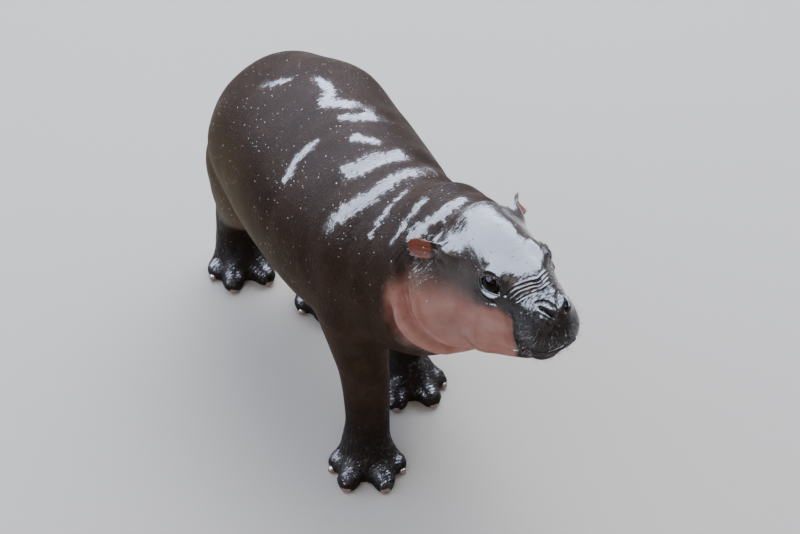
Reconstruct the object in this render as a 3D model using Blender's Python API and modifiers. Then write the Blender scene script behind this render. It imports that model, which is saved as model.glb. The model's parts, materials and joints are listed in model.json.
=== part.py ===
"""Pygmy hippopotamus calf, a still model at life size.

Metres, +Z up. The calf stands on the plane z = 0, its head towards -Y and its left side towards +X.
Its flesh is modelled whole, as lofts through named stations that are blended into one skin, and is then
parted into trunk, neck, head, jaw and legs by cutters that leave a thin gap. Ears, tail, eyes and nails
are bodies of their own.
"""
import math

import bmesh
import bpy
import numpy as np
from mathutils import Matrix, Vector

# Driving dimensions
GAP = 0.0003              # clearance between two bodies that touch
VOXEL = 0.0045            # cell of the remesh that blends the lofts
SMOOTHING = 6             # passes that round the creases between the lofts
FLESH_TRIANGLES = 3300    # triangles left on the blended flesh before it is parted
SOLE_SINK = 0.012         # how far feet are modelled past the floor before their soles are cut flat

# The stations below are drawn from a point under the belly; the middle of the calf's box is the part's origin
MIDDLE = Vector((-0.0181, -0.1001, 0.0))

# The head stands in its own frame: forward is -Y, from the middle of the line between the ear roots
HEAD_AT = Vector((0.0290, -0.2843, 0.3905))
HEAD_YAW, HEAD_PITCH, HEAD_ROLL = (math.radians(angle) for angle in (7.5, -1.7, -2.7))
EAR_ROOT = Vector((0.0540, 0.0020, -0.0010))
EAR_REACH = {"left": (0.0255, 0.0325, -0.0155), "right": (-0.0225, 0.0410, -0.0080)}     # root to tip
EAR_FACE = Vector((0.80, -0.45, 0.40))
EYE_CENTRE = Vector((0.0345, -0.0665, -0.0065))
EYE_RADIUS = 0.0115

# Stations: place x, y, z; half width; reach above and below the path; power of the curve; swell of the lower half
TRUNK = (
    (-0.021, 0.202, 0.307, 0.012, 0.012, 0.012, 2.0, 0.00),
    (-0.021, 0.197, 0.306, 0.035, 0.036, 0.039, 2.0, 0.00),
    (-0.021, 0.180, 0.303, 0.066, 0.060, 0.072, 2.0, 0.00),
    (-0.021, 0.147, 0.298, 0.092, 0.080, 0.096, 2.0, 0.02),
    (-0.021, 0.098, 0.293, 0.111, 0.097, 0.111, 2.1, 0.03),
    (-0.022, 0.030, 0.289, 0.119, 0.105, 0.122, 2.1, 0.04),
    (-0.023, -0.040, 0.286, 0.118, 0.107, 0.130, 2.1, 0.04),
    (-0.022, -0.110, 0.285, 0.112, 0.107, 0.129, 2.1, 0.04),
    (-0.017, -0.163, 0.285, 0.102, 0.106, 0.113, 2.1, 0.03),
    (-0.005, -0.205, 0.289, 0.092, 0.107, 0.106, 2.1, 0.03),
    (0.010, -0.235, 0.299, 0.088, 0.109, 0.102, 2.1, 0.04),
    (0.022, -0.261, 0.309, 0.082, 0.105, 0.096, 2.1, 0.06),
    (0.029, -0.285, 0.318, 0.067, 0.086, 0.082, 2.1, 0.08),
    (0.029, -0.302, 0.325, 0.030, 0.042, 0.040, 2.0, 0.05),
)
HEAD = (
    (0.0, 0.0520, -0.0370, 0.009, 0.009, 0.009, 2.0, 0.00),
    (0.0, 0.0460, -0.0375, 0.032, 0.042, 0.037, 2.0, 0.00),
    (0.0, 0.0280, -0.0395, 0.050, 0.067, 0.070, 2.1, 0.05),
    (0.0, 0.0000, -0.0420, 0.057, 0.075, 0.083, 2.1, 0.10),
    (0.0, -0.0280, -0.0440, 0.057, 0.078, 0.083, 2.1, 0.14),
    (0.0, -0.0550, -0.0440, 0.053, 0.073, 0.078, 2.1, 0.15),
    (0.0, -0.0780, -0.0440, 0.047, 0.061, 0.069, 2.1, 0.13),
    (0.0, -0.0965, -0.0450, 0.040, 0.050, 0.060, 2.1, 0.10),
    (0.0, -0.1120, -0.0460, 0.035, 0.044, 0.053, 2.1, 0.06),
    (0.0, -0.1270, -0.0460, 0.032, 0.043, 0.048, 2.2, 0.02),
    (0.0, -0.1380, -0.0450, 0.029, 0.040, 0.042, 2.3, 0.00),
    (0.0, -0.1475, -0.0425, 0.023, 0.033, 0.033, 2.3, 0.00),
    (0.0, -0.1535, -0.0400, 0.013, 0.019, 0.018, 2.2, 0.00),
    (0.0, -0.1560, -0.0390, 0.005, 0.006, 0.006, 2.0, 0.00),
)
TAIL = (
    (-0.018, 0.182, 0.326, 0.0130, 0.0120, 0.0120, 2.0, 0.0),
    (-0.018, 0.206, 0.320, 0.0125, 0.0110, 0.0110, 2.0, 0.0),
    (-0.018, 0.220, 0.303, 0.0110, 0.0090, 0.0090, 2.0, 0.0),
    (-0.018, 0.224, 0.276, 0.0095, 0.0065, 0.0065, 2.0, 0.0),
    (-0.018, 0.221, 0.252, 0.0080, 0.0045, 0.0045, 2.0, 0.0),
    (-0.018, 0.219, 0.243, 0.0040, 0.0025, 0.0025, 2.0, 0.0),
)

# Rounded forms of the face, in the head's frame: place, radii; each is mirrored where it is off the middle
FACE_FORMS = {
    "orbit": ((0.0290, -0.0655, -0.0050), (0.0155, 0.0230, 0.0160)),
    "cheek": ((0.0330, -0.0350, -0.0850), (0.0270, 0.0440, 0.0390)),
    "lip": ((0.0150, -0.1270, -0.0560), (0.0200, 0.0250, 0.0250)),
    "nostril_rim": ((0.0150, -0.1360, -0.0160), (0.0100, 0.0150, 0.0068)),
    "chin": ((0.0000, -0.1120, -0.0870), (0.0250, 0.0290, 0.0160)),
    "jaw": ((0.0000, -0.0620, -0.0985), (0.0370, 0.0580, 0.0260)),
    "ear_root": ((0.0490, 0.0030, -0.0050), (0.0130, 0.0150, 0.0140)),
}

# Legs: middle of the foot on the floor, turn of the toes to its left, and the way up to the body
# (place x, y, z; half width; reach ahead of and behind the path)
LEGS = {
    "fore_leg_right": {
        "foot": (-0.080, -0.203), "turn": -30.0,
        "path": (
            (-0.068, -0.155, 0.300, 0.030, 0.040, 0.042), (-0.077, -0.160, 0.240, 0.043, 0.054, 0.066),
            (-0.076, -0.174, 0.185, 0.036, 0.040, 0.056), (-0.075, -0.186, 0.140, 0.030, 0.032, 0.034),
            (-0.076, -0.194, 0.095, 0.0275, 0.029, 0.029), (-0.078, -0.199, 0.060, 0.027, 0.028, 0.027),
            (-0.080, -0.199, 0.035, 0.031, 0.032, 0.030),
        ),
    },
    "fore_leg_left": {
        "foot": (0.031, -0.098), "turn": -17.0,
        "path": (
            (0.036, -0.150, 0.300, 0.030, 0.040, 0.042), (0.045, -0.146, 0.240, 0.043, 0.054, 0.066),
            (0.046, -0.134, 0.185, 0.037, 0.042, 0.056), (0.043, -0.120, 0.140, 0.033, 0.035, 0.038),
            (0.038, -0.106, 0.095, 0.029, 0.030, 0.031), (0.034, -0.095, 0.060, 0.028, 0.028, 0.028),
            (0.033, -0.094, 0.035, 0.031, 0.032, 0.030),
        ),
    },
    "hind_leg_right": {
        "foot": (-0.057, 0.208), "turn": -10.0,
        "path": (
            (-0.062, 0.112, 0.310, 0.034, 0.056, 0.056), (-0.076, 0.120, 0.245, 0.049, 0.076, 0.066),
            (-0.074, 0.140, 0.190, 0.045, 0.060, 0.056), (-0.067, 0.172, 0.140, 0.034, 0.039, 0.040),
            (-0.061, 0.202, 0.100, 0.028, 0.029, 0.030), (-0.058, 0.213, 0.062, 0.027, 0.027, 0.028),
            (-0.057, 0.212, 0.035, 0.031, 0.031, 0.030),
        ),
    },
    "hind_leg_left": {
        "foot": (0.014, 0.100), "turn": 0.0,
        "path": (
            (0.028, 0.104, 0.310, 0.034, 0.056, 0.056), (0.039, 0.099, 0.245, 0.049, 0.076, 0.066),
            (0.035, 0.094, 0.190, 0.045, 0.060, 0.056), (0.028, 0.101, 0.140, 0.034, 0.039, 0.040),
            (0.020, 0.107, 0.100, 0.028, 0.029, 0.030), (0.016, 0.108, 0.062, 0.027, 0.027, 0.028),
            (0.014, 0.104, 0.035, 0.031, 0.031, 0.030),
        ),
    },
}
FOOT_PAD = (0.034, 0.036, 0.030)      # half width of a foot, and its reach ahead and behind, at the floor

# Toes: offset to the left and ahead of the foot's middle, turn outwards, length, half width, height
MAIN_TOE = {"aside": 0.0140, "ahead": 0.004, "splay": 11.0, "length": 0.048, "half": 0.0145, "height": 0.034}
SIDE_TOE = {"aside": 0.0220, "ahead": -0.012, "splay": 34.0, "length": 0.036, "half": 0.0105, "height": 0.030}
MAIN_NAIL = (0.0095, 0.0075, 0.0085)
SIDE_NAIL = (0.0070, 0.0060, 0.0065)

# Where the flesh is parted: a point on the cut and the direction that the front piece lies in
NECK_CUT = (Vector((0.000, -0.216, 0.288)), Vector((0.20, -0.85, 0.40)))
HEAD_CUT = (Vector((0.0, 0.014, -0.030)), Vector((0.0, -1.0, 0.36)))         # in the head's frame
JAW_CUT = (Vector((0.0, -0.060, -0.0800)), Vector((0.0, -0.10, -1.0)))       # in the head's frame
JAW_BACK = -0.030                     # the jaw's hind end, along the head's frame
LEG_CUT_HALF = {"fore": (0.056, 0.068), "hind": (0.054, 0.074)}     # a leg cutter's half width and half depth
LEG_CUT_TOP = 0.255                   # height of the highest station that a leg cutter follows
LEG_CUT_DOME = ((-0.62, 0.30), (-0.45, 0.74))       # its domed top: share of a station past it, share of its width
FOOT_PLOT = 0.058                     # radius of the round plot that holds one foot with its toes
FOOT_PLOT_AHEAD = 0.010               # how far the plot's middle lies ahead of the foot's
FOOT_PLOT_TOP = 0.045                 # height at which a leg cutter has opened to the plot
BELLY_CLEAR = 0.120                   # a height under the belly, above every foot

COLOURS = {
    "back": (0.085, 0.070, 0.062), "flank": (0.075, 0.060, 0.050), "muzzle": (0.040, 0.040, 0.044),
    "throat": (0.42, 0.22, 0.17), "leg": (0.052, 0.046, 0.043),
    "ear": (0.32, 0.17, 0.13), "eye": (0.012, 0.009, 0.008), "nail": (0.36, 0.27, 0.25),
}

HEAD_FRAME = Matrix.Translation(HEAD_AT) @ (
    Matrix.Rotation(HEAD_YAW, 4, "Z") @ Matrix.Rotation(-HEAD_PITCH, 4, "X") @ Matrix.Rotation(HEAD_ROLL, 4, "Y"))


def clear_scene():
    """Remove what the file held before."""
    for thing in list(bpy.data.objects):
        bpy.data.objects.remove(thing, do_unlink=True)
    for group in list(bpy.data.collections):
        bpy.data.collections.remove(group)


def new_collection(name):
    """A collection under the scene's own."""
    group = bpy.data.collections.new(name)
    bpy.context.scene.collection.children.link(group)
    return group


def smooth_rows(rows, count):
    """Read count rows from a smooth curve through the stations, closer together towards both ends."""
    rows = np.array(rows, float)
    steps = np.linalg.norm(np.diff(rows[:, :3], axis=0), axis=1)
    keys = np.concatenate([[0.0], np.cumsum(steps)])
    slope = np.diff(rows, axis=0) / steps[:, None]
    tangent = np.empty_like(rows)
    tangent[0], tangent[-1] = slope[0], slope[-1]
    weight = (steps[:-1] + steps[1:])[:, None]
    tangent[1:-1] = (slope[:-1] * steps[1:, None] + slope[1:] * steps[:-1, None]) / weight
    even = np.linspace(0.0, 1.0, count)
    rounded = (1 - np.cos(math.pi * even)) / 2
    at = keys[-1] * (even + rounded) / 2
    k = np.clip(np.searchsorted(keys, at, side="right") - 1, 0, len(steps) - 1)
    span = steps[k][:, None]
    t = ((at - keys[k]) / steps[k])[:, None]
    start, end = 2 * t**3 - 3 * t**2 + 1, -2 * t**3 + 3 * t**2
    leave, arrive = (t**3 - 2 * t**2 + t) * span, (t**3 - t**2) * span
    return start * rows[k] + leave * tangent[k] + end * rows[k + 1] + arrive * tangent[k + 1]


def ring_shape(half, above, below, power, swell, sides):
    """One closed section: a superellipse with its own reach above and below, wider below by the swell."""
    angle = np.linspace(0.0, 2 * math.pi, sides, endpoint=False)
    across = np.sign(np.cos(angle)) * np.abs(np.cos(angle)) ** (2 / power)
    rise = np.sign(np.sin(angle)) * np.abs(np.sin(angle)) ** (2 / power)
    return across * half * (1 - swell * rise), np.where(rise > 0, rise * above, rise * below)


def add_object(name, bm, group, place=Matrix()):
    """Make an object of a bmesh, with its place in its mesh."""
    bmesh.ops.transform(bm, matrix=place, verts=bm.verts)
    bmesh.ops.recalc_face_normals(bm, faces=bm.faces)
    mesh = bpy.data.meshes.new(name)
    bm.to_mesh(mesh)
    bm.free()
    thing = bpy.data.objects.new(name, mesh)
    group.objects.link(thing)
    return thing


def loft(name, rings, group, place=Matrix()):
    """Skin a row of rings, each an array of points, and close both ends."""
    bm = bmesh.new()
    rows = [[bm.verts.new(point) for point in ring] for ring in rings]
    for low, high in zip(rows, rows[1:]):
        for i in range(len(low)):
            k = (i + 1) % len(low)
            bm.faces.new((low[i], low[k], high[k], high[i]))
    bm.faces.new(rows[0])
    bm.faces.new(rows[-1])
    bmesh.ops.triangulate(bm, faces=bm.faces)
    return add_object(name, bm, group, place)


def spine_loft(name, rows, count, sides, group, place=Matrix(), side=(1.0, 0.0, 0.0)):
    """A loft whose rings stand square to the path through the stations."""
    rows = smooth_rows(rows, count)
    along = np.gradient(rows[:, :3], axis=0)
    along /= np.linalg.norm(along, axis=1)[:, None]
    rings = []
    for row, ahead in zip(rows, along):
        left = np.array(side) - np.dot(side, ahead) * ahead
        left /= np.linalg.norm(left)
        up = np.cross(ahead, left)
        across, rise = ring_shape(row[3], row[4], row[5], row[6], row[7], sides)
        rings.append(row[:3] + across[:, None] * left + rise[:, None] * up)
    return loft(name, rings, group, place)


def ball(name, centre, radii, group, place=Matrix(), segments=16, rings=10, turn=0.0):
    """A squashed ball, turned about its upright axis."""
    bm = bmesh.new()
    bmesh.ops.create_uvsphere(bm, u_segments=segments, v_segments=rings, radius=1.0)
    shape = Matrix.Translation(centre) @ Matrix.Rotation(turn, 4, "Z") @ Matrix.Diagonal((*radii, 1.0))
    return add_object(name, bm, group, place @ shape)


def half_space(name, point, front, group, grow=0.0, size=1.2, place=Matrix()):
    """A block that holds everything ahead of a plane."""
    bm = bmesh.new()
    bmesh.ops.create_cube(bm, size=size)
    turn = front.to_track_quat("Z", "Y").to_matrix().to_4x4()
    shift = Matrix.Translation((0.0, 0.0, size / 2 - grow))
    return add_object(name, bm, group, place @ Matrix.Translation(point) @ turn @ shift)


def block(name, low, high, group, place=Matrix()):
    """A block between two corners."""
    bm = bmesh.new()
    bmesh.ops.create_cube(bm, size=1.0)
    low, high = Vector(low), Vector(high)
    shape = Matrix.Translation((low + high) / 2) @ Matrix.Diagonal((*(high - low), 1.0))
    return add_object(name, bm, group, place @ shape)


def boolean(thing, cutter, operation):
    """Cut, keep or join with a Boolean modifier on the exact solver."""
    change = thing.modifiers.new(operation.lower(), "BOOLEAN")
    change.operation = operation
    change.solver = "EXACT"
    change.object = cutter


def baked(thing, name, group):
    """A copy of an object's finished mesh, free of modifiers; the first object is removed."""
    bpy.context.view_layer.update()
    mesh = bpy.data.meshes.new_from_object(thing.evaluated_get(bpy.context.evaluated_depsgraph_get()))
    mesh.name = name
    copy = bpy.data.objects.new(name, mesh)
    group.objects.link(copy)
    bpy.data.objects.remove(thing, do_unlink=True)
    return copy


def joined(name, things, group):
    """One object that holds several closed bodies."""
    bm = bmesh.new()
    for thing in things:
        bm.from_mesh(thing.data)
        bpy.data.objects.remove(thing, do_unlink=True)
    return add_object(name, bm, group)


def toes_of(leg):
    """The four toes of a foot, from its left: place of the root, heading, which kind, and its number."""
    turn = math.radians(leg["turn"])
    toes = []
    for number, (kind, sign) in enumerate(((SIDE_TOE, 1), (MAIN_TOE, 1), (MAIN_TOE, -1), (SIDE_TOE, -1)), 1):
        offset = Matrix.Rotation(turn, 2) @ Vector((sign * kind["aside"], -kind["ahead"]))
        heading = turn + sign * math.radians(kind["splay"])
        toes.append((Vector((*leg["foot"], 0.0)) + Vector((*offset, 0.0)), heading, kind, number))
    return toes


def toe(name, root, heading, kind, group):
    """A toe: a short loft that swells, then rounds down to its tip on the floor."""
    length, half, height = kind["length"], kind["half"], kind["height"]
    rows = []
    for share, width, top in ((-0.30, 0.75, 1.0), (0.20, 0.92, 0.95), (0.52, 1.0, 0.80), (0.78, 0.95, 0.62),
                              (0.94, 0.70, 0.44), (1.0, 0.35, 0.26)):
        middle = height * top / 2
        rows.append((0.0, -share * length, middle, width * half, middle, middle + SOLE_SINK, 2.3, 0.0))
    place = Matrix.Translation(root) @ Matrix.Rotation(heading, 4, "Z")
    return spine_loft(name, rows, 9, 12, group, place)


def leg_forms(name, leg, group):
    """The lofts of one leg: the limb down to its foot, and the toes."""
    rows = [(*station, 2.1, 0.0) for station in leg["path"]]
    x, y = leg["foot"]
    for height in (0.014, -SOLE_SINK):
        rows.append((x, y, height, *FOOT_PAD, 2.2, 0.0))
    forms = [spine_loft(name + "_limb", rows, 22, 20, group)]
    for root, heading, kind, number in toes_of(leg):
        forms.append(toe(f"{name}_toe_{number}", root, heading, kind, group))
    return forms


def mirrored(place):
    """A place on the head's left, and the same on its right; only one where it is on the middle."""
    return [("left", Vector(place))] + (
        [("right", Vector((-place[0], place[1], place[2])))] if place[0] else [])


def make_flesh(group):
    """Blend trunk, head, legs and toes into one closed skin with flat soles."""
    forms = [spine_loft("trunk_form", TRUNK, 34, 32, group)]
    forms.append(spine_loft("head_form", HEAD, 34, 28, group, HEAD_FRAME))
    for form, (place, radii) in FACE_FORMS.items():
        for side, centre in mirrored(place):
            forms.append(ball(f"{form}_{side}", centre, radii, group, HEAD_FRAME))
    for name, leg in LEGS.items():
        forms += leg_forms(name, leg, group)
    flesh = joined("flesh_forms", forms, group)
    remesh = flesh.modifiers.new("blend", "REMESH")
    remesh.mode = "VOXEL"
    remesh.voxel_size = VOXEL
    soften = flesh.modifiers.new("soften", "SMOOTH")
    soften.factor = 0.5
    soften.iterations = SMOOTHING
    blended = baked(flesh, "flesh_blended", group)
    thin_out = blended.modifiers.new("thin_out", "DECIMATE")
    thin_out.ratio = FLESH_TRIANGLES / (2 * len(blended.data.polygons))
    floor = block("floor_cut", (-1.0, -1.0, -0.2), (1.0, 1.0, 0.0), group)
    boolean(blended, floor, "DIFFERENCE")
    return baked(blended, "flesh", group)


def grown(thing, name, group):
    """A copy of an object whose surface stands one gap further out."""
    copy = bpy.data.objects.new(name, thing.data.copy())
    group.objects.link(copy)
    grow = copy.modifiers.new("grow", "DISPLACE")
    grow.strength = GAP
    grow.mid_level = 0.0
    return copy


def leg_cutter(name, leg, group):
    """A column with a domed top that follows a leg and stands on the round plot of its foot."""
    half, depth = LEG_CUT_HALF[name.split("_")[0]]
    turn = math.radians(leg["turn"])
    plot = Vector(leg["foot"]) + Vector((math.sin(turn), -math.cos(turn))) * FOOT_PLOT_AHEAD
    path = [Vector(station[:3]) for station in leg["path"] if FOOT_PLOT_TOP < station[2] <= LEG_CUT_TOP]
    rows = [(*path[0].lerp(path[1], past), half * share, depth * share, depth * share)
            for past, share in LEG_CUT_DOME]
    rows += [(*place, half, depth, depth) for place in path]
    rows += [(*plot, height, FOOT_PLOT, FOOT_PLOT, FOOT_PLOT) for height in (FOOT_PLOT_TOP, -SOLE_SINK)]
    return spine_loft(f"{name}_cut", [(*row, 2.0, 0.0) for row in rows], 10, 14, group)


def ear(side, group):
    """A cupped leaf on a short stalk: each ring is a crescent, bent by the square of its way across."""
    sign = 1 if side == "left" else -1
    reach = Vector(EAR_REACH[side])
    along = reach.normalized()
    face = Vector((sign * EAR_FACE.x, EAR_FACE.y, EAR_FACE.z))
    face = (face - face.dot(along) * along).normalized()
    across = along.cross(face)
    root = Vector((sign * EAR_ROOT.x, EAR_ROOT.y, EAR_ROOT.z))
    angles = np.linspace(0.0, 2 * math.pi, 12, endpoint=False)
    rings = []
    for share, half, cup in ((-0.10, 0.0085, 0.0), (0.10, 0.0080, 0.05), (0.30, 0.0110, 0.30), (0.50, 0.0145, 0.42),
                             (0.70, 0.0160, 0.40), (0.86, 0.0130, 0.30), (0.96, 0.0080, 0.20), (1.0, 0.0030, 0.0)):
        thick = 0.0055 - 0.0035 * max(share, 0.0) + 0.003 * (share < 0.2)
        ring = []
        for angle in angles:
            wide = math.cos(angle)
            lift = cup * half * wide * wide - cup * half * 0.5
            ring.append(root + reach * share + across * (half * wide) + face * (thick * 0.5 * math.sin(angle) + lift))
        rings.append(ring)
    return loft(f"ear_{side}_form", rings, group, HEAD_FRAME)


def nail(name, root, heading, kind, group, grow=0.0):
    """A small hoof-like nail that caps the tip of a toe."""
    radii = MAIN_NAIL if kind is MAIN_TOE else SIDE_NAIL
    reach = kind["length"] - radii[1] * 0.45
    tip = root + Vector((math.sin(heading) * reach, -math.cos(heading) * reach, radii[2] + 0.0015))
    radii = tuple(radius + grow for radius in radii)
    return ball(name, tip, radii, group, segments=8, rings=5, turn=heading)


def finish(thing, colour, roughness):
    """Give a body its own material."""
    material = bpy.data.materials.new(thing.name)
    material.use_nodes = True
    shader = material.node_tree.nodes["Principled BSDF"]
    shader.inputs["Base Color"].default_value = (*COLOURS[colour], 1.0)
    shader.inputs["Roughness"].default_value = roughness
    thing.data.materials.clear()
    thing.data.materials.append(material)
    thing.data.shade_smooth()
    thing.data.set_sharp_from_angle(angle=math.radians(40))


def flesh_piece(name, flesh, group, keep=(), remove=()):
    """A share of the flesh: inside every cutter of keep, outside every cutter of remove."""
    piece = bpy.data.objects.new(name, flesh.data.copy())
    group.objects.link(piece)
    for cutter in keep:
        boolean(piece, cutter, "INTERSECT")
    for cutter in remove:
        boolean(piece, cutter, "DIFFERENCE")
    return piece


def main_body(piece, name, group):
    """The largest closed body of a piece; crumbs that its cutters leave are dropped."""
    whole = baked(piece, name, group)
    bm = bmesh.new()
    bm.from_mesh(whole.data)
    left = set(bm.verts)
    islands = []
    while left:
        front = [left.pop()]
        island = list(front)
        while front:
            near = {edge.other_vert(vert) for vert in front for edge in vert.link_edges} & left
            left -= near
            front = list(near)
            island += front
        islands.append(island)
    islands.sort(key=len)
    for island in islands[:-1]:
        bmesh.ops.delete(bm, geom=island, context="VERTS")
    bm.to_mesh(whole.data)
    bm.free()
    return whole


def main():
    clear_scene()
    body = new_collection("pygmy_hippopotamus_calf")
    cutters = new_collection("cutters")
    flesh = make_flesh(cutters)

    ahead_of_neck = [half_space(f"neck_cut_{i}", *NECK_CUT, cutters, grow) for i, grow in enumerate((0.0, GAP))]
    ahead_of_head = [half_space(f"head_cut_{i}", *HEAD_CUT, cutters, grow, place=HEAD_FRAME)
                     for i, grow in enumerate((0.0, GAP))]
    under_mouth = []
    for i, grow in enumerate((0.0, GAP)):
        under = half_space(f"jaw_cut_{i}", *JAW_CUT, cutters, grow, place=HEAD_FRAME)
        front = block(f"jaw_end_{i}", (-0.3, -0.4, -0.3), (0.3, JAW_BACK + grow, 0.1), cutters, HEAD_FRAME)
        boolean(under, front, "INTERSECT")
        under_mouth.append(under)

    sockets = []
    for side, centre in mirrored(EYE_CENTRE):
        eye = ball(f"eye_{side}", centre, (EYE_RADIUS,) * 3, body, HEAD_FRAME, 12, 8)
        finish(eye, "eye", 0.05)
        sockets.append(ball(f"socket_{side}", centre, (EYE_RADIUS + GAP,) * 3, cutters, HEAD_FRAME, 12, 8))

    head = flesh_piece("head_whole", flesh, cutters, [ahead_of_head[0]], [under_mouth[1], *sockets])
    finish(main_body(head, "head", body), "back", 0.35)
    jaw = flesh_piece("lower_jaw", flesh, body, [ahead_of_head[0], under_mouth[0]])
    finish(jaw, "throat", 0.40)
    neck = flesh_piece("neck", flesh, body, [ahead_of_neck[0]], [ahead_of_head[1]])
    finish(neck, "flank", 0.35)

    leg_spaces = []
    for name, leg in LEGS.items():
        share = leg_cutter(name, leg, cutters)
        leg_spaces.append(grown(share, f"{name}_space", cutters))
        nail_spaces = []
        for root, heading, kind, number in toes_of(leg):
            label = f"{name.replace('leg', 'nail')}_{number}"
            finish(nail(label, root, heading, kind, body), "nail", 0.40)
            nail_spaces.append(nail(label + "_space", root, heading, kind, cutters, GAP))
        limb = flesh_piece(f"{name}_form", flesh, cutters, [share], nail_spaces)
        finish(main_body(limb, name, body), "leg", 0.38)

    under_belly = block("under_belly", (-1.0, -1.0, -1.0), (1.0, 1.0, BELLY_CLEAR), cutters)
    trunk = flesh_piece("trunk", flesh, body, [], [ahead_of_neck[1], *leg_spaces, under_belly])
    finish(trunk, "flank", 0.33)

    skin_space = grown(flesh, "skin_space", cutters)
    tail = spine_loft("tail_form", TAIL, 11, 10, cutters)
    for piece, colour in ((ear("left", cutters), "ear"), (ear("right", cutters), "ear"), (tail, "flank")):
        boolean(piece, skin_space, "DIFFERENCE")
        finish(main_body(piece, piece.name.replace("_form", ""), body), colour, 0.40)

    for thing in (*body.objects, *cutters.objects):
        thing.location = -MIDDLE
    for cutter in cutters.objects:
        cutter.hide_render = True
        cutter.display_type = "WIRE"


main()
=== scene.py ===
# %% [markdown]
# # A pygmy hippopotamus calf, from its solids to its skin
#
# The calf comes in as rigid solids: trunk, neck, head, jaw, legs, ears, eyes and nails. This lesson gives
# them one wet, folded skin, eyes with lids, horn nails and a few bristles. The solids decide where
# everything is and how big it is. The numbers here only add what a solid is too coarse to hold.

import json
import math

import bmesh
import bpy
import numpy as np
from mathutils import Matrix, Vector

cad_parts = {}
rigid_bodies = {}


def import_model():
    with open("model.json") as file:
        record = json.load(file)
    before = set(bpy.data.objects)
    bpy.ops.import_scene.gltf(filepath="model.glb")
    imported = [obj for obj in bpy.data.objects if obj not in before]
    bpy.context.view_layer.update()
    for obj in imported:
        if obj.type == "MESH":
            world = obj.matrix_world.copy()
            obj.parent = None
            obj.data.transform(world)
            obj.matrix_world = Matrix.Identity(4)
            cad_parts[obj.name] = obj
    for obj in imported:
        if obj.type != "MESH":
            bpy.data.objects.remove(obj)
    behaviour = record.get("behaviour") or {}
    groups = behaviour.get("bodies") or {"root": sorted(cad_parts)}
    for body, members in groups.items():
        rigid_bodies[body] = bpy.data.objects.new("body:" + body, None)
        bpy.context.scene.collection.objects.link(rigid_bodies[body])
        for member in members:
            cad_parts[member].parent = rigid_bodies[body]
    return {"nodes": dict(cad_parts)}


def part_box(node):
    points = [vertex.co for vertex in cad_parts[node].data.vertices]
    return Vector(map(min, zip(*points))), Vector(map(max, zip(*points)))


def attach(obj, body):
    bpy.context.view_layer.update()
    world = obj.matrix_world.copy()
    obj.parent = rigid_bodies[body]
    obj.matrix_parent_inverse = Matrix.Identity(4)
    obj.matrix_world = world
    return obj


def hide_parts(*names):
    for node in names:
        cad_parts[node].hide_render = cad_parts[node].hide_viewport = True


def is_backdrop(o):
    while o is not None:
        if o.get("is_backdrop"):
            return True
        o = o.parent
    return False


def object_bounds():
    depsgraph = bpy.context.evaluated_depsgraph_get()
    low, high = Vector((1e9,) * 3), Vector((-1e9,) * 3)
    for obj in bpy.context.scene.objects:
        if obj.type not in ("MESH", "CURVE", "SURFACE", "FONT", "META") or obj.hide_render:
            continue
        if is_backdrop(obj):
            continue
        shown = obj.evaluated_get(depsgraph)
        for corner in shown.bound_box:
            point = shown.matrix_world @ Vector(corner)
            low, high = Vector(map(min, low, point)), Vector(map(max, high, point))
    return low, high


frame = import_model()
cad_box = [list(corner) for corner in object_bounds()]
print("solids:", len(frame["nodes"]), "box in mm:", [round(1000 * (b - a)) for a, b in zip(*cad_box)])

# %% [markdown]
# The head of the calf is turned and tilted a little, so everything on the face is easier to place in the
# head's own frame: forward is -Y, up is +Z, and both sides mirror across X. The two eyes fix where that
# frame stands. Their middle is known in the head's frame, so the difference gives the frame's origin.

# %% The head's own frame
YAW, PITCH, ROLL = (math.radians(angle) for angle in (7.5, -1.7, -2.7))    # how the head is turned
EYE_CENTRE = np.array([0.0345, -0.0665, -0.0065])                          # the left eye, in its frame


def turn(angle, axis):
    """A rotation matrix about x, y or z by an angle."""
    c, s = math.cos(angle), math.sin(angle)
    matrix = np.eye(3)
    i, j = [k for k in range(3) if k != axis]
    matrix[i, i] = matrix[j, j] = c
    matrix[i, j], matrix[j, i] = (-s, s) if axis != 1 else (s, -s)
    return matrix


def middle_of(node):
    """The middle of a solid's box."""
    low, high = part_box(node)
    return (np.array(low) + np.array(high)) / 2


HEAD_TURN = turn(YAW, 2) @ turn(-PITCH, 0) @ turn(ROLL, 1)
eyes_middle = (middle_of("eye_left") + middle_of("eye_right")) / 2
HEAD_AT = eyes_middle - HEAD_TURN @ (EYE_CENTRE * [0, 1, 1])


def in_head(points):
    """Points of the calf's frame, given in the head's frame."""
    return (points - HEAD_AT) @ HEAD_TURN


def from_head(points):
    """Points of the head's frame, given in the calf's frame."""
    return np.asarray(points) @ HEAD_TURN.T + HEAD_AT


print("head at", HEAD_AT.round(4), "right eye", from_head(EYE_CENTRE * [-1, 1, 1]).round(4))

# %% [markdown]
# Meshes are handled as arrays here: one of points and one of triangles. These helpers turn an object into
# arrays and back, and find the normals and neighbours that the later steps need. Working on whole arrays
# keeps each step to a formula, with no walk over single vertices.

# %% Meshes as arrays
def mesh_arrays(mesh):
    """The points and the triangles of a mesh."""
    mesh.calc_loop_triangles()
    points = np.empty(len(mesh.vertices) * 3)
    mesh.vertices.foreach_get("co", points)
    faces = np.empty(len(mesh.loop_triangles) * 3, np.int64)
    mesh.loop_triangles.foreach_get("vertices", faces)
    return points.reshape(-1, 3), faces.reshape(-1, 3)


def add_piece(name, points, faces):
    """An object at the origin, with smooth faces, made from points and faces."""
    mesh = bpy.data.meshes.new(name)
    mesh.from_pydata(np.asarray(points).tolist(), [], np.asarray(faces).tolist())
    mesh.shade_smooth()
    piece = bpy.data.objects.new(name, mesh)
    bpy.context.scene.collection.objects.link(piece)
    return piece


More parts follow.
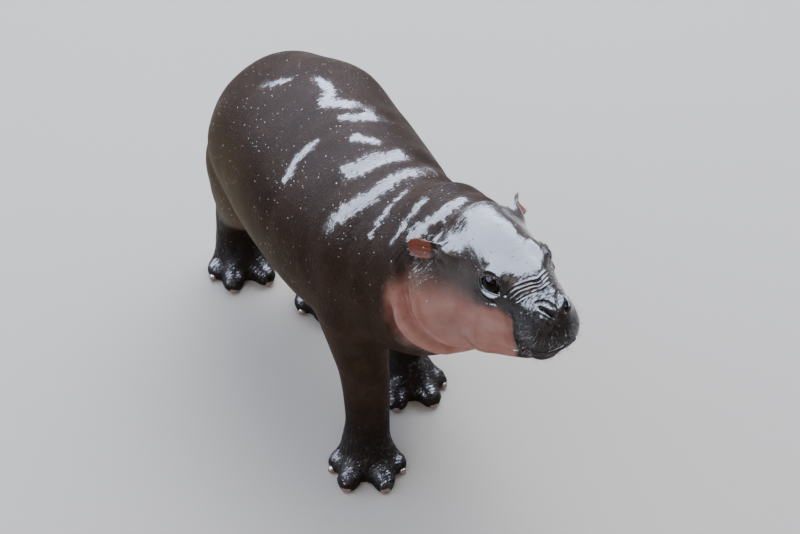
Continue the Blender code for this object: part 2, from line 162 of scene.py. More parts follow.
def summed(index, values, number):
    """The sum of the rows of values that the index gives to each of a number of points."""
    return np.stack([np.bincount(index, column, number) for column in values.T], 1)


def normals_of(points, faces):
    """Unit normals of the points: the sum of the crossed edges of the triangles round each."""
    a, b, c = (points[faces[:, i]] for i in range(3))
    total = summed(faces.ravel(), np.repeat(np.cross(b - a, c - a), 3, axis=0), len(points))
    return total / np.maximum(np.linalg.norm(total, axis=1, keepdims=True), 1e-12)


def pushed(points, faces, amount):
    """The points moved out along their normals, each by its own amount."""
    return points + normals_of(points, faces) * amount[:, None]


def edges_of(faces):
    """Each edge once, as pairs of points."""
    pairs = np.sort(np.stack([faces, np.roll(faces, -1, 1)], 2).reshape(-1, 2), 1)
    return np.unique(pairs, axis=0)


def neighbours_of(points, faces):
    """Every point of every edge, the point at its other end, and how many neighbours each point has."""
    edges = edges_of(faces)
    ends, others = np.ascontiguousarray(np.concatenate([edges, edges[:, ::-1]]).T)
    return ends, others, np.bincount(ends, minlength=len(points))[:, None]


def relaxed(points, faces, passes, share=1.0, back=-0.53):
    """Taubin smoothing: each pass moves a point half way to the mean of its neighbours and then back a
    little more, so that bumps go and the volume stays. With back=0 it stays moved. share can be a weight
    per point."""
    ends, others, count = neighbours_of(points, faces)
    share = np.broadcast_to(np.asarray(share, float), len(points))[:, None]
    for step in (0.5, back) * passes:
        if step:
            points = points + step * share * (summed(ends, points[others], len(points)) / count - points)
    return points


def ramp(value, start, end):
    """0 before start and 1 after end, with a smooth step 3t^2 - 2t^3 between."""
    t = np.clip((value - start) / (end - start), 0, 1)
    return t * t * (3 - 2 * t)


def bell(value, width):
    """A bump of height 1 at value 0 that falls to 0.37 at the width."""
    return np.exp(-np.square(value / width))


def near_to(points, centre, radii, start=0.0, end=1.0):
    """1 at the centre of an ellipsoid, falling smoothly to 0 between two shares of its radii."""
    return 1 - ramp(np.linalg.norm((points - np.asarray(centre)) / radii, axis=1), start, end)


cube = np.array([[i, j, k] for i in (-1.0, 1.0) for j in (-1.0, 1.0) for k in (-1.0, 1.0)])
print("a test of near_to on the corners of a cube:", near_to(cube, (1, 1, 1), (2, 2, 2), 0.5, 1.5).round(2))

# %% [markdown]
# ## One body from many solids
#
# The solids stand 0.3 mm apart, which would show as seams. Bridging each gap by hand would take a patch per
# joint. Instead copies of the solids are grown by a little more than half that gap, put together and
# remeshed, which melts them into one closed surface. The eyes are in the mix too, so that their sockets are
# filled, and the lids are shaped over them later. So are the nails: a calf's nail is a small plate on a
# round toe, and the toe has to be whole first.

# %% Melt the solids together
FLESH = ["trunk", "neck", "head", "lower_jaw", "tail",
         "fore_leg_left", "fore_leg_right", "hind_leg_left", "hind_leg_right"]
GROWTH = 0.0004       # a little more than half the gap between two solids
CELL = 0.0055         # the size of the remesh's grid, and so of the barrel's triangles


def merged_arrays(node, grow):
    """A solid's triangles with their shared corners merged, grown along the normals."""
    bm = bmesh.new()
    bm.from_mesh(frame["nodes"][node].data)
    bmesh.ops.remove_doubles(bm, verts=bm.verts, dist=1e-5)
    mesh = bpy.data.meshes.new("copy")
    bm.to_mesh(mesh)
    bm.free()
    points, faces = mesh_arrays(mesh)
    bpy.data.meshes.remove(mesh)
    return points + grow * normals_of(points, faces), faces


def put_together(parts):
    """Several pairs of points and faces as one pair."""
    starts = np.cumsum([0] + [len(points) for points, faces in parts])
    return (np.concatenate([points for points, faces in parts]),
            np.concatenate([faces + start for (points, faces), start in zip(parts, starts)]))


def through_modifier(points, faces, kind, **settings):
    """The arrays after one modifier has worked on them."""
    piece = add_piece("work", points, faces)
    modifier = piece.modifiers.new(kind, kind)
    for key, value in settings.items():
        setattr(modifier, key, value)
    done = piece.evaluated_get(bpy.context.evaluated_depsgraph_get())
    points, faces = mesh_arrays(done.to_mesh())
    done.to_mesh_clear()
    bpy.data.objects.remove(piece)
    return points, faces


def largest_body(points, faces):
    """The biggest of the separate closed surfaces. Labels spread along the edges until each surface has
    one."""
    edges = edges_of(faces)
    label = np.arange(len(points))
    while True:
        least = np.minimum(label[edges[:, 0]], label[edges[:, 1]])
        new = label.copy()
        np.minimum.at(new, edges[:, 0], least)
        np.minimum.at(new, edges[:, 1], least)
        new = new[new]
        if (new == label).all():
            break
        label = new
    keep = label == np.bincount(label).argmax()
    number = np.cumsum(keep) - 1
    return points[keep], number[faces[keep[faces[:, 0]]]]


NAILS = [name for name in frame["nodes"] if "_nail_" in name]
parts = [merged_arrays(node, GROWTH) for node in FLESH + ["eye_left", "eye_right"] + NAILS]
points, faces = put_together(parts)
points, faces = through_modifier(points, faces, "REMESH", mode="VOXEL", voxel_size=CELL)
points, faces = largest_body(points, faces)
print("one body:", len(points), "points,", len(faces), "triangles")

# %% [markdown]
# The feet are known by a few numbers: where each stands, how it is turned, and how its toes spread. The
# toes are needed three times, for the round pads at their tips, for the nails and for the water that stands
# on them.

# %% Where the toes are
# Each foot: where it stands, and how it is turned in degrees
FEET = {"fore_left": ((0.031, -0.098), -17.0), "fore_right": ((-0.080, -0.203), -30.0),
        "hind_left": ((0.014, 0.100), 0.0), "hind_right": ((-0.057, 0.208), -10.0)}
BODY_MIDDLE = np.array([-0.0181, -0.1001])      # the calf's middle, measured as those places are
# Each toe: offset aside and ahead, splay in degrees, length, and the nail's radii
SIDE_TOE = (0.0220, -0.012, 34.0, 0.036, (0.0070, 0.0060, 0.0065))
MAIN_TOE = (0.0140, 0.004, 11.0, 0.048, (0.0095, 0.0075, 0.0085))


def toes():
    """Every toe: its name, root on the floor, heading, length and nail radii."""
    for foot, (place, turned) in FEET.items():
        turned = math.radians(turned)
        four = ((SIDE_TOE, 1), (MAIN_TOE, 1), (MAIN_TOE, -1), (SIDE_TOE, -1))
        for number, (kind, sign) in enumerate(four, 1):
            aside, ahead, splay, length, radii = kind
            offset = turn(turned, 2)[:2, :2] @ [sign * aside, -ahead]
            heading = turned + sign * math.radians(splay)
            end, side = foot.split("_")
            root = np.array(place) - BODY_MIDDLE + offset
            yield f"{end}_nail_{side}_{number}", root, heading, length, radii


def on_toe(root, heading, ahead, height=0.0):
    """The point at a distance ahead of a toe's root, at a height over the floor."""
    return np.array([*(root + turn(heading, 2)[:2, :2] @ [0, -ahead]), height])


astray = [name for name, root, heading, length, radii in toes()
          if np.linalg.norm((on_toe(root, heading, length) - middle_of(name))[:2]) > 0.005]
print("toes that aren't where their solids are:", astray)

# %% [markdown]
# The solids are faceted, and the remesh keeps that. Smoothing rounds the facets off. The toes, lips and
# eyes have small forms that many passes would wash away, so they get fewer. The cheeks and the roots of the
# ears are the softest, and get more.

# %% Round the facets
def both_sides(points):
    """Points in the head's frame with both cheeks folded onto the left one."""
    return np.abs(in_head(points) * [1, 0, 0]) + in_head(points) * [0, 1, 1]


def patch(points, centre, radii, soft=0.5):
    """1 in the middle of an ellipsoid of the folded head, falling to 0 over the soft share of its radii."""
    return near_to(both_sides(points), centre, radii, 1 - soft, 1)


feet_part = 1 - ramp(points[:, 2], 0.045, 0.075)
face_part = 1 - ramp(in_head(points)[:, 1], -0.055, -0.020)
points = relaxed(points, faces, 6)
points = relaxed(points, faces, 24, 1 - 0.9 * np.maximum(feet_part, face_part))
soft_cheek = patch(points, (0.062, 0.000, -0.068), (0.045, 0.060, 0.072), 0.35)
ear_root = patch(points, (0.052, 0.004, -0.002), (0.026, 0.030, 0.026), 0.4)
points = relaxed(points, faces, 75, soft_cheek * (1 - ear_root), 0)
points = relaxed(points, faces, 32, ear_root)
print("rounded:", len(points), "points")

# %% [markdown]
# Flesh bulges where it is fat and sinks where it isn't. Each such form is an ellipsoid in which the skin
# moves out or in along its normals, most in the middle. That is quicker to place than a sculpting brush,
# and easy to change.

# %% Soft forms
# In the folded head's frame: centre, radii, and how far the skin moves out
SOFT_FORMS = (
    ("fat of the cheek", (0.062, 0.000, -0.075), (0.050, 0.055, 0.055), 0.0050),
    ("root of the ear", (0.050, 0.000, 0.000), (0.022, 0.030, 0.024), 0.0008),
    ("bulb of the upper lip", (0.030, -0.130, -0.046), (0.024, 0.034, 0.030), 0.0032),
    ("corner of the jaw", (0.038, -0.066, -0.106), (0.040, 0.042, 0.034), 0.0072),
    ("throat drawn in", (0.052, -0.006, -0.160), (0.080, 0.046, 0.040), -0.0115),
    ("throat beside the chest", (0.066, 0.004, -0.166), (0.046, 0.034, 0.030), -0.0070),
    ("shelf over the bridge", (0.010, -0.092, 0.006), (0.036, 0.026, 0.018), 0.0034),
    ("chin drawn in", (0.000, -0.156, -0.080), (0.046, 0.034, 0.032), -0.0085),
    ("beside the brow", (0.026, -0.068, 0.011), (0.016, 0.028, 0.016), 0.0040),
)
# The same in the calf's frame: the rump's crown stands a little to the left
RUMP_FORMS = (
    ("crown, right side", (-0.055, 0.245, 0.368), (0.070, 0.070, 0.055), -0.0035),
    ("crown, left side", (0.080, 0.175, 0.362), (0.060, 0.080, 0.050), 0.0060),
    ("right haunch", (-0.108, 0.232, 0.285), (0.050, 0.070, 0.090), 0.0065),
)
TAIL_DROP = 0.010                # how much lower the tail is set than its solid
WRIST_SLIM = 0.011               # how far the left wrist is drawn in
TOE_PAD = 0.40                   # how far the pad swells, as a share of the nail's width

for label, centre, radii, away in SOFT_FORMS:
    points = pushed(points, faces, away * patch(points, centre, radii, 0.9))
points = relaxed(points, faces, 6, patch(points, (0.03, -0.06, -0.10), (0.11, 0.14, 0.10), 0.5))
for label, centre, radii, away in RUMP_FORMS:
    points = pushed(points, faces, away * near_to(points, centre, radii))
points = relaxed(points, faces, 40, ramp(points[:, 1], 0.09, 0.15) * ramp(points[:, 2], 0.15, 0.22))
points[:, 2] -= TAIL_DROP * ramp(points[:, 1], 0.262, 0.306) * ramp(points[:, 2], 0.27, 0.33)
wrist = near_to(points, (0.078, -0.014, 0.052), (0.032, 0.040, 0.034), 0.1, 1)
points = pushed(points, faces, -WRIST_SLIM * wrist)
for name, root, heading, length, radii in toes():
    on_pad = near_to(points, on_toe(root, heading, length - 0.004, 0.011), (1, 1, 0.8), 0.008, 0.023)
    points = pushed(points, faces, TOE_PAD * radii[0] * on_pad)
points = relaxed(points, faces, 2, 1 - ramp(points[:, 2], 0.03, 0.05))
print("soles at", (1000 * points[:, 2].min()).round(2), "mm")

# %% [markdown]
# ## Finer triangles where the detail is
#
# The barrel's triangles are about 5.5 mm long. A fold of the cheek needs half of that, the nose and the
# mouth a quarter, and an eyelid or a wrinkle an eighth. Splitting only the triangles of one region keeps
# the whole under 200,000. A chosen triangle becomes four, and a neighbour that shares one or two of its
# split edges becomes two or three, so the surface stays closed.

# %% Split the triangles of a region
def refined(points, faces, chosen):
    """Halves every edge of the chosen triangles and rebuilds all triangles that touch one."""
    pairs = np.sort(np.stack([faces, np.roll(faces, -1, 1)], 2).reshape(-1, 2), 1)
    key, inverse = np.unique(pairs[:, 0] * len(points) + pairs[:, 1], return_inverse=True)
    inverse = inverse.reshape(-1, 3)
    split = np.zeros(len(key), bool)
    split[inverse[chosen].ravel()] = True
    number = np.full(len(key), -1)
    number[split] = len(points) + np.arange(split.sum())
    ends = np.stack([key[split] // len(points), key[split] % len(points)], 1)
    points = np.concatenate([points, points[ends].mean(1)])
    middle = number[inverse]
    count = (middle >= 0).sum(1)
    first = np.where(count == 2, ((middle < 0).argmax(1) + 1) % 3, 0)
    first = np.where(count == 1, (middle >= 0).argmax(1), first)
    order = (first[:, None] + np.arange(3)) % 3
    rows = np.arange(len(faces))[:, None]
    (a, b, c), (ab, bc, ca) = faces[rows, order].T, middle[rows, order].T
    new = [np.stack([a, b, c], 1)[count == 0]]
    for wanted, triangles in (
        (1, ((a, ab, c), (ab, b, c))),
        (2, ((a, ab, c), (ab, bc, c), (ab, b, bc))),
        (3, ((a, ab, ca), (ab, b, bc), (ca, bc, c), (ab, bc, ca))),
    ):
        new += [np.stack(triangle, 1)[count == wanted] for triangle in triangles]
    return points, np.concatenate(new)


def off_mouth(local):
    """Distance up or down from the mouth's slanting line, in the folded head."""
    return np.abs(local[:, 2] + 0.070 + 0.3 * (local[:, 1] + 0.125))


def on_face(middle):
    """The head in front of the ears, and all below the ankles."""
    local = both_sides(middle)
    return (local[:, 1] < 0.020 + 0.030 * (local[:, 0] > 0.030)) | (middle[:, 2] < 0.046)


def round_features(middle):
    """The eyes, the nose and the mouth."""
    local = both_sides(middle)
    eye = np.linalg.norm(local - EYE_CENTRE, axis=1) < 0.027
    nose = (local[:, 1] < -0.082) & (local[:, 2] > -0.036)
    return eye | nose | ((local[:, 1] < -0.095) & (off_mouth(local) < 0.018))


def fine_features(middle):
    """The lids, the wrinkles of the bridge, the nostrils and the lips."""
    local = both_sides(middle)
    lids = np.linalg.norm(local - EYE_CENTRE - [0.0070, -0.0030, 0.0020], axis=1) < 0.0190
    bridge = (local[:, 1] < -0.085) & (local[:, 2] > -0.026)
    return lids | bridge | ((local[:, 1] < -0.100) & (off_mouth(local) < 0.007))


for passes, region in ((2, on_face), (2, round_features), (3, fine_features)):
    points, faces = refined(points, faces, region(points[faces].mean(1)))
    points = relaxed(points, faces, passes, region(points).astype(float))
    print(region.__name__, "split:", len(faces), "triangles")
base = points.copy()
base_normals = normals_of(points, faces)

# %% [markdown]
# ## Folds and creases
#
# Skin folds run along lines. Each is drawn here as a smooth curve through a few stations on the body. A
# point's distance to that curve, with a sign for the side it lies on, is fed to a profile: a groove with a
# low swelling either side of it, or a rounded ridge. Carving each one by hand with a brush would be harder
# to repeat on the other cheek.

# %% Lines on the skin
def smooth_line(stations, count=60):
    """A curve through the stations: a Catmull-Rom cubic between each two, as evenly numbered points."""
    stations = np.asarray(stations, float)
    before, after = 2 * stations[:1] - stations[1:2], 2 * stations[-1:] - stations[-2:-1]
    padded = np.concatenate([before, stations, after])
    place = np.linspace(0, len(stations) - 1, count)
    i = np.minimum(place.astype(int), len(stations) - 2)
    t = (place - i)[:, None]
    p, q, r, s = (padded[i + k] for k in range(4))
    square, cube = 2 * p - 5 * q + 4 * r - s, 3 * q - p - 3 * r + s
    return 0.5 * (2 * q + (r - p) * t + square * t ** 2 + cube * t ** 3)


def laid_on(line):
    """The line's points moved to the nearest points of the skin, then evened out."""
    line = base[[np.argmin(((base - place) ** 2).sum(1)) for place in line]]
    for _ in range(4):
        line[1:-1] = (line[:-2] + 2 * line[1:-1] + line[2:]) / 4
    return line


def beside(line, reach):
    """For the points within reach of a line: their numbers, signed distance to it, and share of its length.
    The distance is positive on the side that lies left of the line's run, seen from outside."""
    low, high = line.min(0) - reach, line.max(0) + reach
    chosen = np.flatnonzero(((base > low) & (base < high)).all(1))
    start, run = line[:-1], np.diff(line, axis=0)
    offset = base[chosen][:, None] - start[None]
    t = np.clip((offset * run).sum(2) / np.maximum((run ** 2).sum(1), 1e-12), 0, 1)
    away = offset - t[:, :, None] * run
    length = np.linalg.norm(away, axis=2)
    piece = length.argmin(1)
    rows = np.arange(len(chosen))
    close = length[rows, piece] < reach
    chosen, piece, rows = chosen[close], piece[close], rows[close]
    left = np.cross(base_normals[chosen], run[piece])
    sign = np.sign((away[rows, piece] * left).sum(1))
    return chosen, sign * length[rows, piece], (piece + t[rows, piece]) / len(run)


def between_ends(share, ends):
    """1 along a line and 0 at its ends, fading over the share 'ends' of its length."""
    return ramp(share, 0, ends) * (1 - ramp(share, 1 - ends, 1))


def crease(move, line, depth, width, ends, rim, side):
    """Adds a groove along a line: a bell of the given depth and width with a low swelling either side of
    it, of height rim times the depth. side leans the swelling to one side, from -1 to 1."""
    chosen, away, share = beside(line, width * 5)
    swell = rim * bell(np.abs(away) - 2.2 * width, 1.3 * width) * (1 + side * np.sign(away))
    move[chosen] += between_ends(share, ends) * depth * (swell - bell(away, width))


def ridge(move, line, height, width, ends=0.3):
    """Adds a rounded ridge along a line, fading at its ends."""
    chosen, away, share = beside(line, width * 3)
    move[chosen] += height * between_ends(share, ends) * bell(away, width)

# %% [markdown]
# Ring folds lie across the back of the neck and shoulders where the calf lifts its head, and softer ones
# across the loin. Each is a plane that cuts the body: where it stands on the back, how it is yawed and how
# it leans. The distance to the plane feeds a rounded ridge with a crease before it, and a window round the
# body fades it out towards the belly. A slow wave in the distance keeps the folds from looking turned on a
# lathe.

# %% Ring folds
AXIS = np.array([-0.003, 0.0, 0.285])       # a line along the barrel; ring angles are measured about it

# Folds: place on the back (x, y, z), yaw, lean forwards at the top, height, half width, and the angles
# between which the fold shows (0 is straight up, positive towards the calf's right side)
RINGS = (
    ("shoulder roll", (-0.003, -0.048, 0.391), 4, 10, 0.0040, 0.0150, (-75, 80)),
    ("roll before the shoulder", (-0.003, -0.083, 0.391), 8, 12, 0.0016, 0.0085, (-70, 85)),
    ("nape roll", (-0.003, -0.117, 0.396), 13, 22, 0.0034, 0.0120, (-75, 95)),
    ("roll behind the skull", (0.021, -0.140, 0.405), 11, 26, 0.0038, 0.0100, (-80, 95)),
    ("shoulder-blade fold", (-0.012, 0.002, 0.391), 2, 4, 0.0018, 0.0120, (-45, 45)),
    ("back fold", (-0.043, 0.056, 0.387), -4, 2, 0.0014, 0.0090, (15, 70)),
    ("loin fold", (-0.027, 0.079, 0.391), 4, -4, 0.0016, 0.0100, (-40, 45)),
)


def slow_wave(points, size, seed):
    """A smooth wander, mostly between -1 and 1: sines of five directions, with wavelengths of about the
    size."""
    random = np.random.default_rng(seed)
    total = np.zeros(len(points))
    for _ in range(5):
        direction = random.normal(size=3)
        direction *= 2 * np.pi / (size * random.uniform(0.7, 1.6) * np.linalg.norm(direction))
        total += np.sin(points @ direction + random.uniform(0, 2 * np.pi))
    return total / 3


def ring_distance(points, place, yaw, lean):
    """Signed distance to a fold's plane, positive in front of it."""
    yaw, lean = math.radians(yaw), math.radians(lean)
    ahead = np.array([math.sin(yaw) * math.cos(lean), -math.cos(yaw) * math.cos(lean), math.sin(lean)])
    return (points - place) @ ahead


move = np.zeros(len(points))
around = np.degrees(np.arctan2(-(points[:, 0] - AXIS[0]), points[:, 2] - AXIS[2]))
for seed, (label, place, yaw, lean, height, half, window) in enumerate(RINGS):
    away = ring_distance(points, place, yaw, lean) + 0.0035 * slow_wave(points, 0.11, seed)
    fade = ramp(around, window[0] - 30, window[0] + 15) * (1 - ramp(around, window[1] - 15, window[1] + 30))
    fade *= ramp(points[:, 2], 0.18, 0.24) * ramp(in_head(points)[:, 1], 0.016, 0.032)
    before, behind = bell(away - 1.9 * half, 0.55 * half), bell(away + 2.0 * half, 0.9 * half)
    move += height * fade * (bell(away, half) - 0.75 * before - 0.30 * behind)
    print(f"{label}: {fade.astype(bool).sum()} points")

# %% [markdown]
# ## The eye's opening and lids
#
# The ball fills its socket, so the skin has to open over it. Seen along the eye's outward axis the opening
# is a rounded almond. Over the opening the skin dives inside the ball, where it can't be seen. At the
# margin it comes up steeply and rounds over as the lid's thick rim. Around it follow the fold of the upper
# lid, and the lower lid with its soft bag. All of it is a height along the axis, as a function of two
# distances across it.

# %% Shape the lids
EYE_OUT = np.array([0.88, -0.32, 0.34])
EYE_OUT /= np.linalg.norm(EYE_OUT)
EYE_AHEAD = np.array([0.0, -1.0, 0.0]) + EYE_OUT[1] * EYE_OUT
EYE_AHEAD /= np.linalg.norm(EYE_AHEAD)
EYE_UP = np.cross(EYE_AHEAD, EYE_OUT)
EYE_UP *= np.sign(EYE_UP[2])
BALL, SUNK = 0.0130, 0.0015        # the eyeball's radius, and how far its middle lies behind the solid's
BALL_EDGE = 0.0118                 # how far from its middle the skin still follows the ball
UPPER_RIM, LOWER_RIM = 0.0016, 0.0016      # the lids' height over the ball, the first on top of the second
EDGE_SCALE = 0.00095               # the opening is drawn in millimetres and 5% large
OPENING = [(-11.5, -0.5), (-9.5, 4.6), (-5.5, 7.4), (0.5, 8.8), (6.3, 8.3), (10.5, 5.4), (13.2, 0.8),
           (15.3, -4.2), (16.6, -7.4), (12.6, -7.8), (8.0, -8.7), (2.5, -9.5), (-4.0, -8.8), (-9.0, -5.6)]


def eye_distances(local):
    """For points of the folded head: distance ahead, up and out from the ball's middle."""
    offset = local - EYE_CENTRE
    return offset @ EYE_AHEAD, offset @ EYE_UP, offset @ EYE_OUT


def beyond_opening(ahead, up):
    """Distance outside the opening's edge, negative inside. The edge runs through the stations (mm ahead
    and up), as a radius that depends on the angle about a point near their middle."""
    middle = np.array([2.0, 0.0])
    edge = smooth_line(OPENING[-3:] + OPENING + OPENING[:3], 400) - middle
    angle, radius = np.arctan2(edge[:, 1], edge[:, 0]), np.hypot(edge[:, 0], edge[:, 1])
    order = np.argsort(angle)
    x, y = 1000 * ahead - middle[0], 1000 * up - middle[1]
    reach = np.interp(np.arctan2(y, x), angle[order], radius[order], period=2 * np.pi)
    return EDGE_SCALE * (np.hypot(x, y) - reach)


local = both_sides(points)
ahead, up, out = eye_distances(local)
gap = beyond_opening(ahead, up)
across = np.hypot(ahead, up)
at_eye = (out > -0.004) & (across < 0.034) & (local[:, 1] < -0.025)
ball = np.sqrt(np.maximum(BALL ** 2 - np.minimum(across, BALL_EDGE) ** 2, 0)) - SUNK
upper = ramp(up - 0.15 * ahead, -0.002, 0.004)
lid = ball + LOWER_RIM + UPPER_RIM * upper
lid += (out - lid) * ramp(gap, 0.0012, 0.0105)
lid = np.maximum(lid, np.minimum(out, ball + 0.0030 + 0.0014 * upper))
lid += 0.0008 * bell(gap - 0.0011, 0.0011)                          # the rounded margin
fold = upper * ramp(0.015 - np.abs(ahead), 0, 0.005)
lid -= fold * 0.0017 * bell(gap - 0.0031, 0.0008)                   # the crease of the upper lid
lid += fold * 0.0015 * bell(gap - 0.0062, 0.0026)                   # and the fold over it
bag = (1 - upper) * ramp(0.019 - np.abs(ahead + 0.001), 0, 0.008)
lid -= bag * 0.0010 * bell(gap - 0.0027, 0.0007)                    # the crease of the lower lid
lid += bag * 0.0030 * bell(gap - 0.0068, 0.0030)                    # the bag
lid -= bag * 0.0010 * bell(gap - 0.0132, 0.0022)                    # and the groove under it
inside = ball - 0.0026 + 0.0022 * ramp(across, BALL_EDGE, 0.0135)   # the inner corner is a shallow pit
wanted = np.where(at_eye, inside + (lid - inside) * ramp(gap, -0.0010, 0.0004), out)
side_sign = np.where(in_head(points)[:, :1] < 0, [-1, 1, 1], [1, 1, 1])
points = points + ((wanted - out)[:, None] * EYE_OUT * side_sign) @ HEAD_TURN.T * at_eye[:, None]
print("points in the openings:", int((at_eye & (gap < 0)).sum()))

# %% [markdown]
# ## Nose, mouth and cheeks
#
# The nostrils are slits with a raised, rounded rim, and the bridge of the nose is crossed by fine arched
# wrinkles. The upper lip is a big soft bulb that hangs over the mouth, and behind it the cheek and the
# jowls lap over each other. These are lines in the head's frame, drawn once and mirrored, then laid on the
# skin. The last stations of the bridge's wrinkles lie past the middle, so that the two halves meet.

# %% Lines of the face
NOSTRIL_RIM = [(-0.0138, -0.1270, -0.0075), (-0.0105, -0.1340, -0.0090), (-0.0060, -0.1400, -0.0130),
               (-0.0025, -0.1450, -0.0190)]

# Creases: depth, width, share of the length that each end fades over, rim, lean of the rim, and stations
CREASES = (
    ("nostril", 0.0050, 0.0014, 0.25, 0.25, 0.0,
     [(-0.0170, -0.1265, -0.0090), (-0.0150, -0.1360, -0.0100), (-0.0110, -0.1435, -0.0140),
      (-0.0060, -0.1470, -0.0205)]),
    ("nose crease", 0.0016, 0.0013, 0.25, 0.50, 0.0,
     [(-0.0184, -0.1206, -0.0098), (-0.0101, -0.1255, -0.0061), (-0.0045, -0.1320, -0.0085),
      (-0.0010, -0.1410, -0.0160)]),
    ("mouth", 0.0030, 0.0010, 0.06, 0.25, 0.5,
     [(0.0, -0.1580, -0.0520), (-0.0120, -0.1560, -0.0550), (-0.0210, -0.1500, -0.0600),
      (-0.0265, -0.1380, -0.0725), (-0.0270, -0.1240, -0.0850), (-0.0270, -0.1080, -0.0930),
      (-0.0320, -0.0900, -0.0960)]),
    ("lip and cheek", 0.0030, 0.0028, 0.20, 0.55, 0.0,
     [(-0.0410, -0.0930, -0.0330), (-0.0375, -0.1012, -0.0391), (-0.0366, -0.1049, -0.0572),
      (-0.0309, -0.1049, -0.0791), (-0.0256, -0.1039, -0.0930)]),
    ("under the eye bag", 0.0012, 0.0022, 0.25, 0.15, 0.0,
     [(-0.0503, -0.0555, -0.0312), (-0.0464, -0.0696, -0.0304), (-0.0415, -0.0823, -0.0264),
      (-0.0385, -0.0930, -0.0290)]),
    ("bridge 1", 0.0011, 0.0010, 0.06, 0.50, 0.0,
     [(-0.0340, -0.0860, -0.0135), (-0.0326, -0.0896, -0.0107), (-0.0243, -0.0930, -0.0019),
      (-0.0130, -0.0985, 0.0024), (0.0, -0.1030, 0.0030), (0.0060, -0.1015, 0.0030)]),
    ("bridge 2", 0.0006, 0.0008, 0.06, 0.50, 0.0,
     [(-0.0322, -0.0940, -0.0135), (-0.0218, -0.0985, -0.0036), (-0.0100, -0.1040, 0.0006),
      (0.0, -0.1075, 0.0005), (0.0060, -0.1060, 0.0006)]),
    ("bridge 3", 0.0005, 0.0008, 0.10, 0.50, 0.0,
     [(-0.0305, -0.1010, -0.0170), (-0.0210, -0.1060, -0.0085), (-0.0120, -0.1110, -0.0045),
      (0.0, -0.1145, -0.0025), (0.0060, -0.1130, -0.0030)]),
    ("jowl 1", 0.0050, 0.0042, 0.18, 0.70, 0.0,
     [(-0.0850, 0.0500, -0.0250), (-0.0912, 0.0307, -0.0488), (-0.0962, 0.0149, -0.0803),
      (-0.0905, 0.0005, -0.1060), (-0.0745, -0.0185, -0.1270), (-0.0500, -0.0360, -0.1430),
      (-0.0200, -0.0480, -0.1500)]),
    ("jowl 2", 0.0060, 0.0045, 0.18, 0.60, 0.0,
     [(-0.1018, 0.0413, -0.0638), (-0.1068, 0.0289, -0.1081), (-0.0977, 0.0144, -0.1300),
      (-0.0780, -0.0050, -0.1480), (-0.0450, -0.0200, -0.1600)]),
)


def face_line(stations, hand):
    """A line of the face on one side, laid on the skin. hand is 1 for the side it is drawn on and -1 for
    the other."""
    return laid_on(smooth_line(from_head(np.array(stations) * [hand, 1, 1])))


for hand in (1, -1):
    ridge(move, face_line(NOSTRIL_RIM, hand), 0.0022, 0.0026)
    for label, depth, width, ends, rim, side, stations in CREASES:
        crease(move, face_line(stations, hand), depth, width, ends, rim, side * hand)
points = points + move[:, None] * base_normals
points[:, 2] = np.maximum(points[:, 2], 0.0)
print("folds reach from", *(1000 * np.array([move.min(), move.max()])).round(1), "mm")

# %% [markdown]
# ## Ears
#
# A calf's ear is a small cupped leaf on a round stalk, laid back along the neck. Each ring of the ear is a
# crescent: an ellipse bent by the square of its way across. Its half width, cup and thickness change from
# root to tip along smooth curves. On the inner side the rim is rolled, two low ridges run down the cup, and
# the base sinks into the ear canal. The finished ear is united with the skin, and the joint is smoothed
# into a soft root.

# %% Make the ears and unite them with the skin
# In the head's frame: the left root, the way from each root to its tip, and where the left cup faces
EAR_ROOT = np.array([0.0540, 0.0020, -0.0010])
EAR_REACH = {"left": (0.0255, 0.0325, -0.0155), "right": (-0.0225, 0.0410, -0.0080)}
EAR_FACE = np.array([0.80, -0.45, 0.40])

# Stations of the ear: share of its length, half width, cup (share of the half width), thickness
EAR_ROWS = [(-0.36, 0.0190, 0.00, 0.0150), (-0.14, 0.0155, 0.00, 0.0115), (0.03, 0.0115, 0.05, 0.0090),
            (0.17, 0.0094, 0.20, 0.0074), (0.32, 0.0104, 0.45, 0.0052), (0.50, 0.0112, 0.62, 0.0042),
            (0.68, 0.0114, 0.62, 0.0036), (0.84, 0.0092, 0.50, 0.0031), (0.95, 0.0056, 0.30, 0.0027),
            (1.00, 0.0015, 0.10, 0.0020)]


def ear_axes(side):
    """The ear's root and its directions along, across and out of the cup, in the head's frame."""
    sign = 1 if side == "left" else -1
    reach = np.array(EAR_REACH[side])
    along = reach / np.linalg.norm(reach)
    face = EAR_FACE * [sign, 1, 1]
    face = face - face @ along * along
    face /= np.linalg.norm(face)
    return EAR_ROOT * [sign, 1, 1], reach, np.cross(along, face), face


def tube_faces(rows, columns):
    """Triangles of a closed tube of rings, with a point at each end."""
    number = 1 + np.arange(rows * columns).reshape(rows, columns)
    beside_it = np.roll(number, -1, 1)
    quads = np.stack([number[:-1], beside_it[:-1], beside_it[1:], number[1:]], 2).reshape(-1, 4)
    last = rows * columns + 1
    first_fan = np.stack([np.zeros(columns, int), beside_it[0], number[0]], 1)
    last_fan = np.stack([np.full(columns, last), number[-1], beside_it[-1]], 1)
    return np.concatenate([quads[:, [0, 1, 2]], quads[:, [0, 2, 3]], first_fan, last_fan])


def ear_profile(share):
    """Half width, cup and thickness at a share of the ear's length."""
    rows = smooth_line(EAR_ROWS, 300)
    return (np.interp(share, rows[:, 0], rows[:, column]) for column in (1, 2, 3))


def tip_bend(share):
    """How far the ear's tip bends back."""
    return 0.0035 * ramp(share, 0.55, 1.0) ** 2


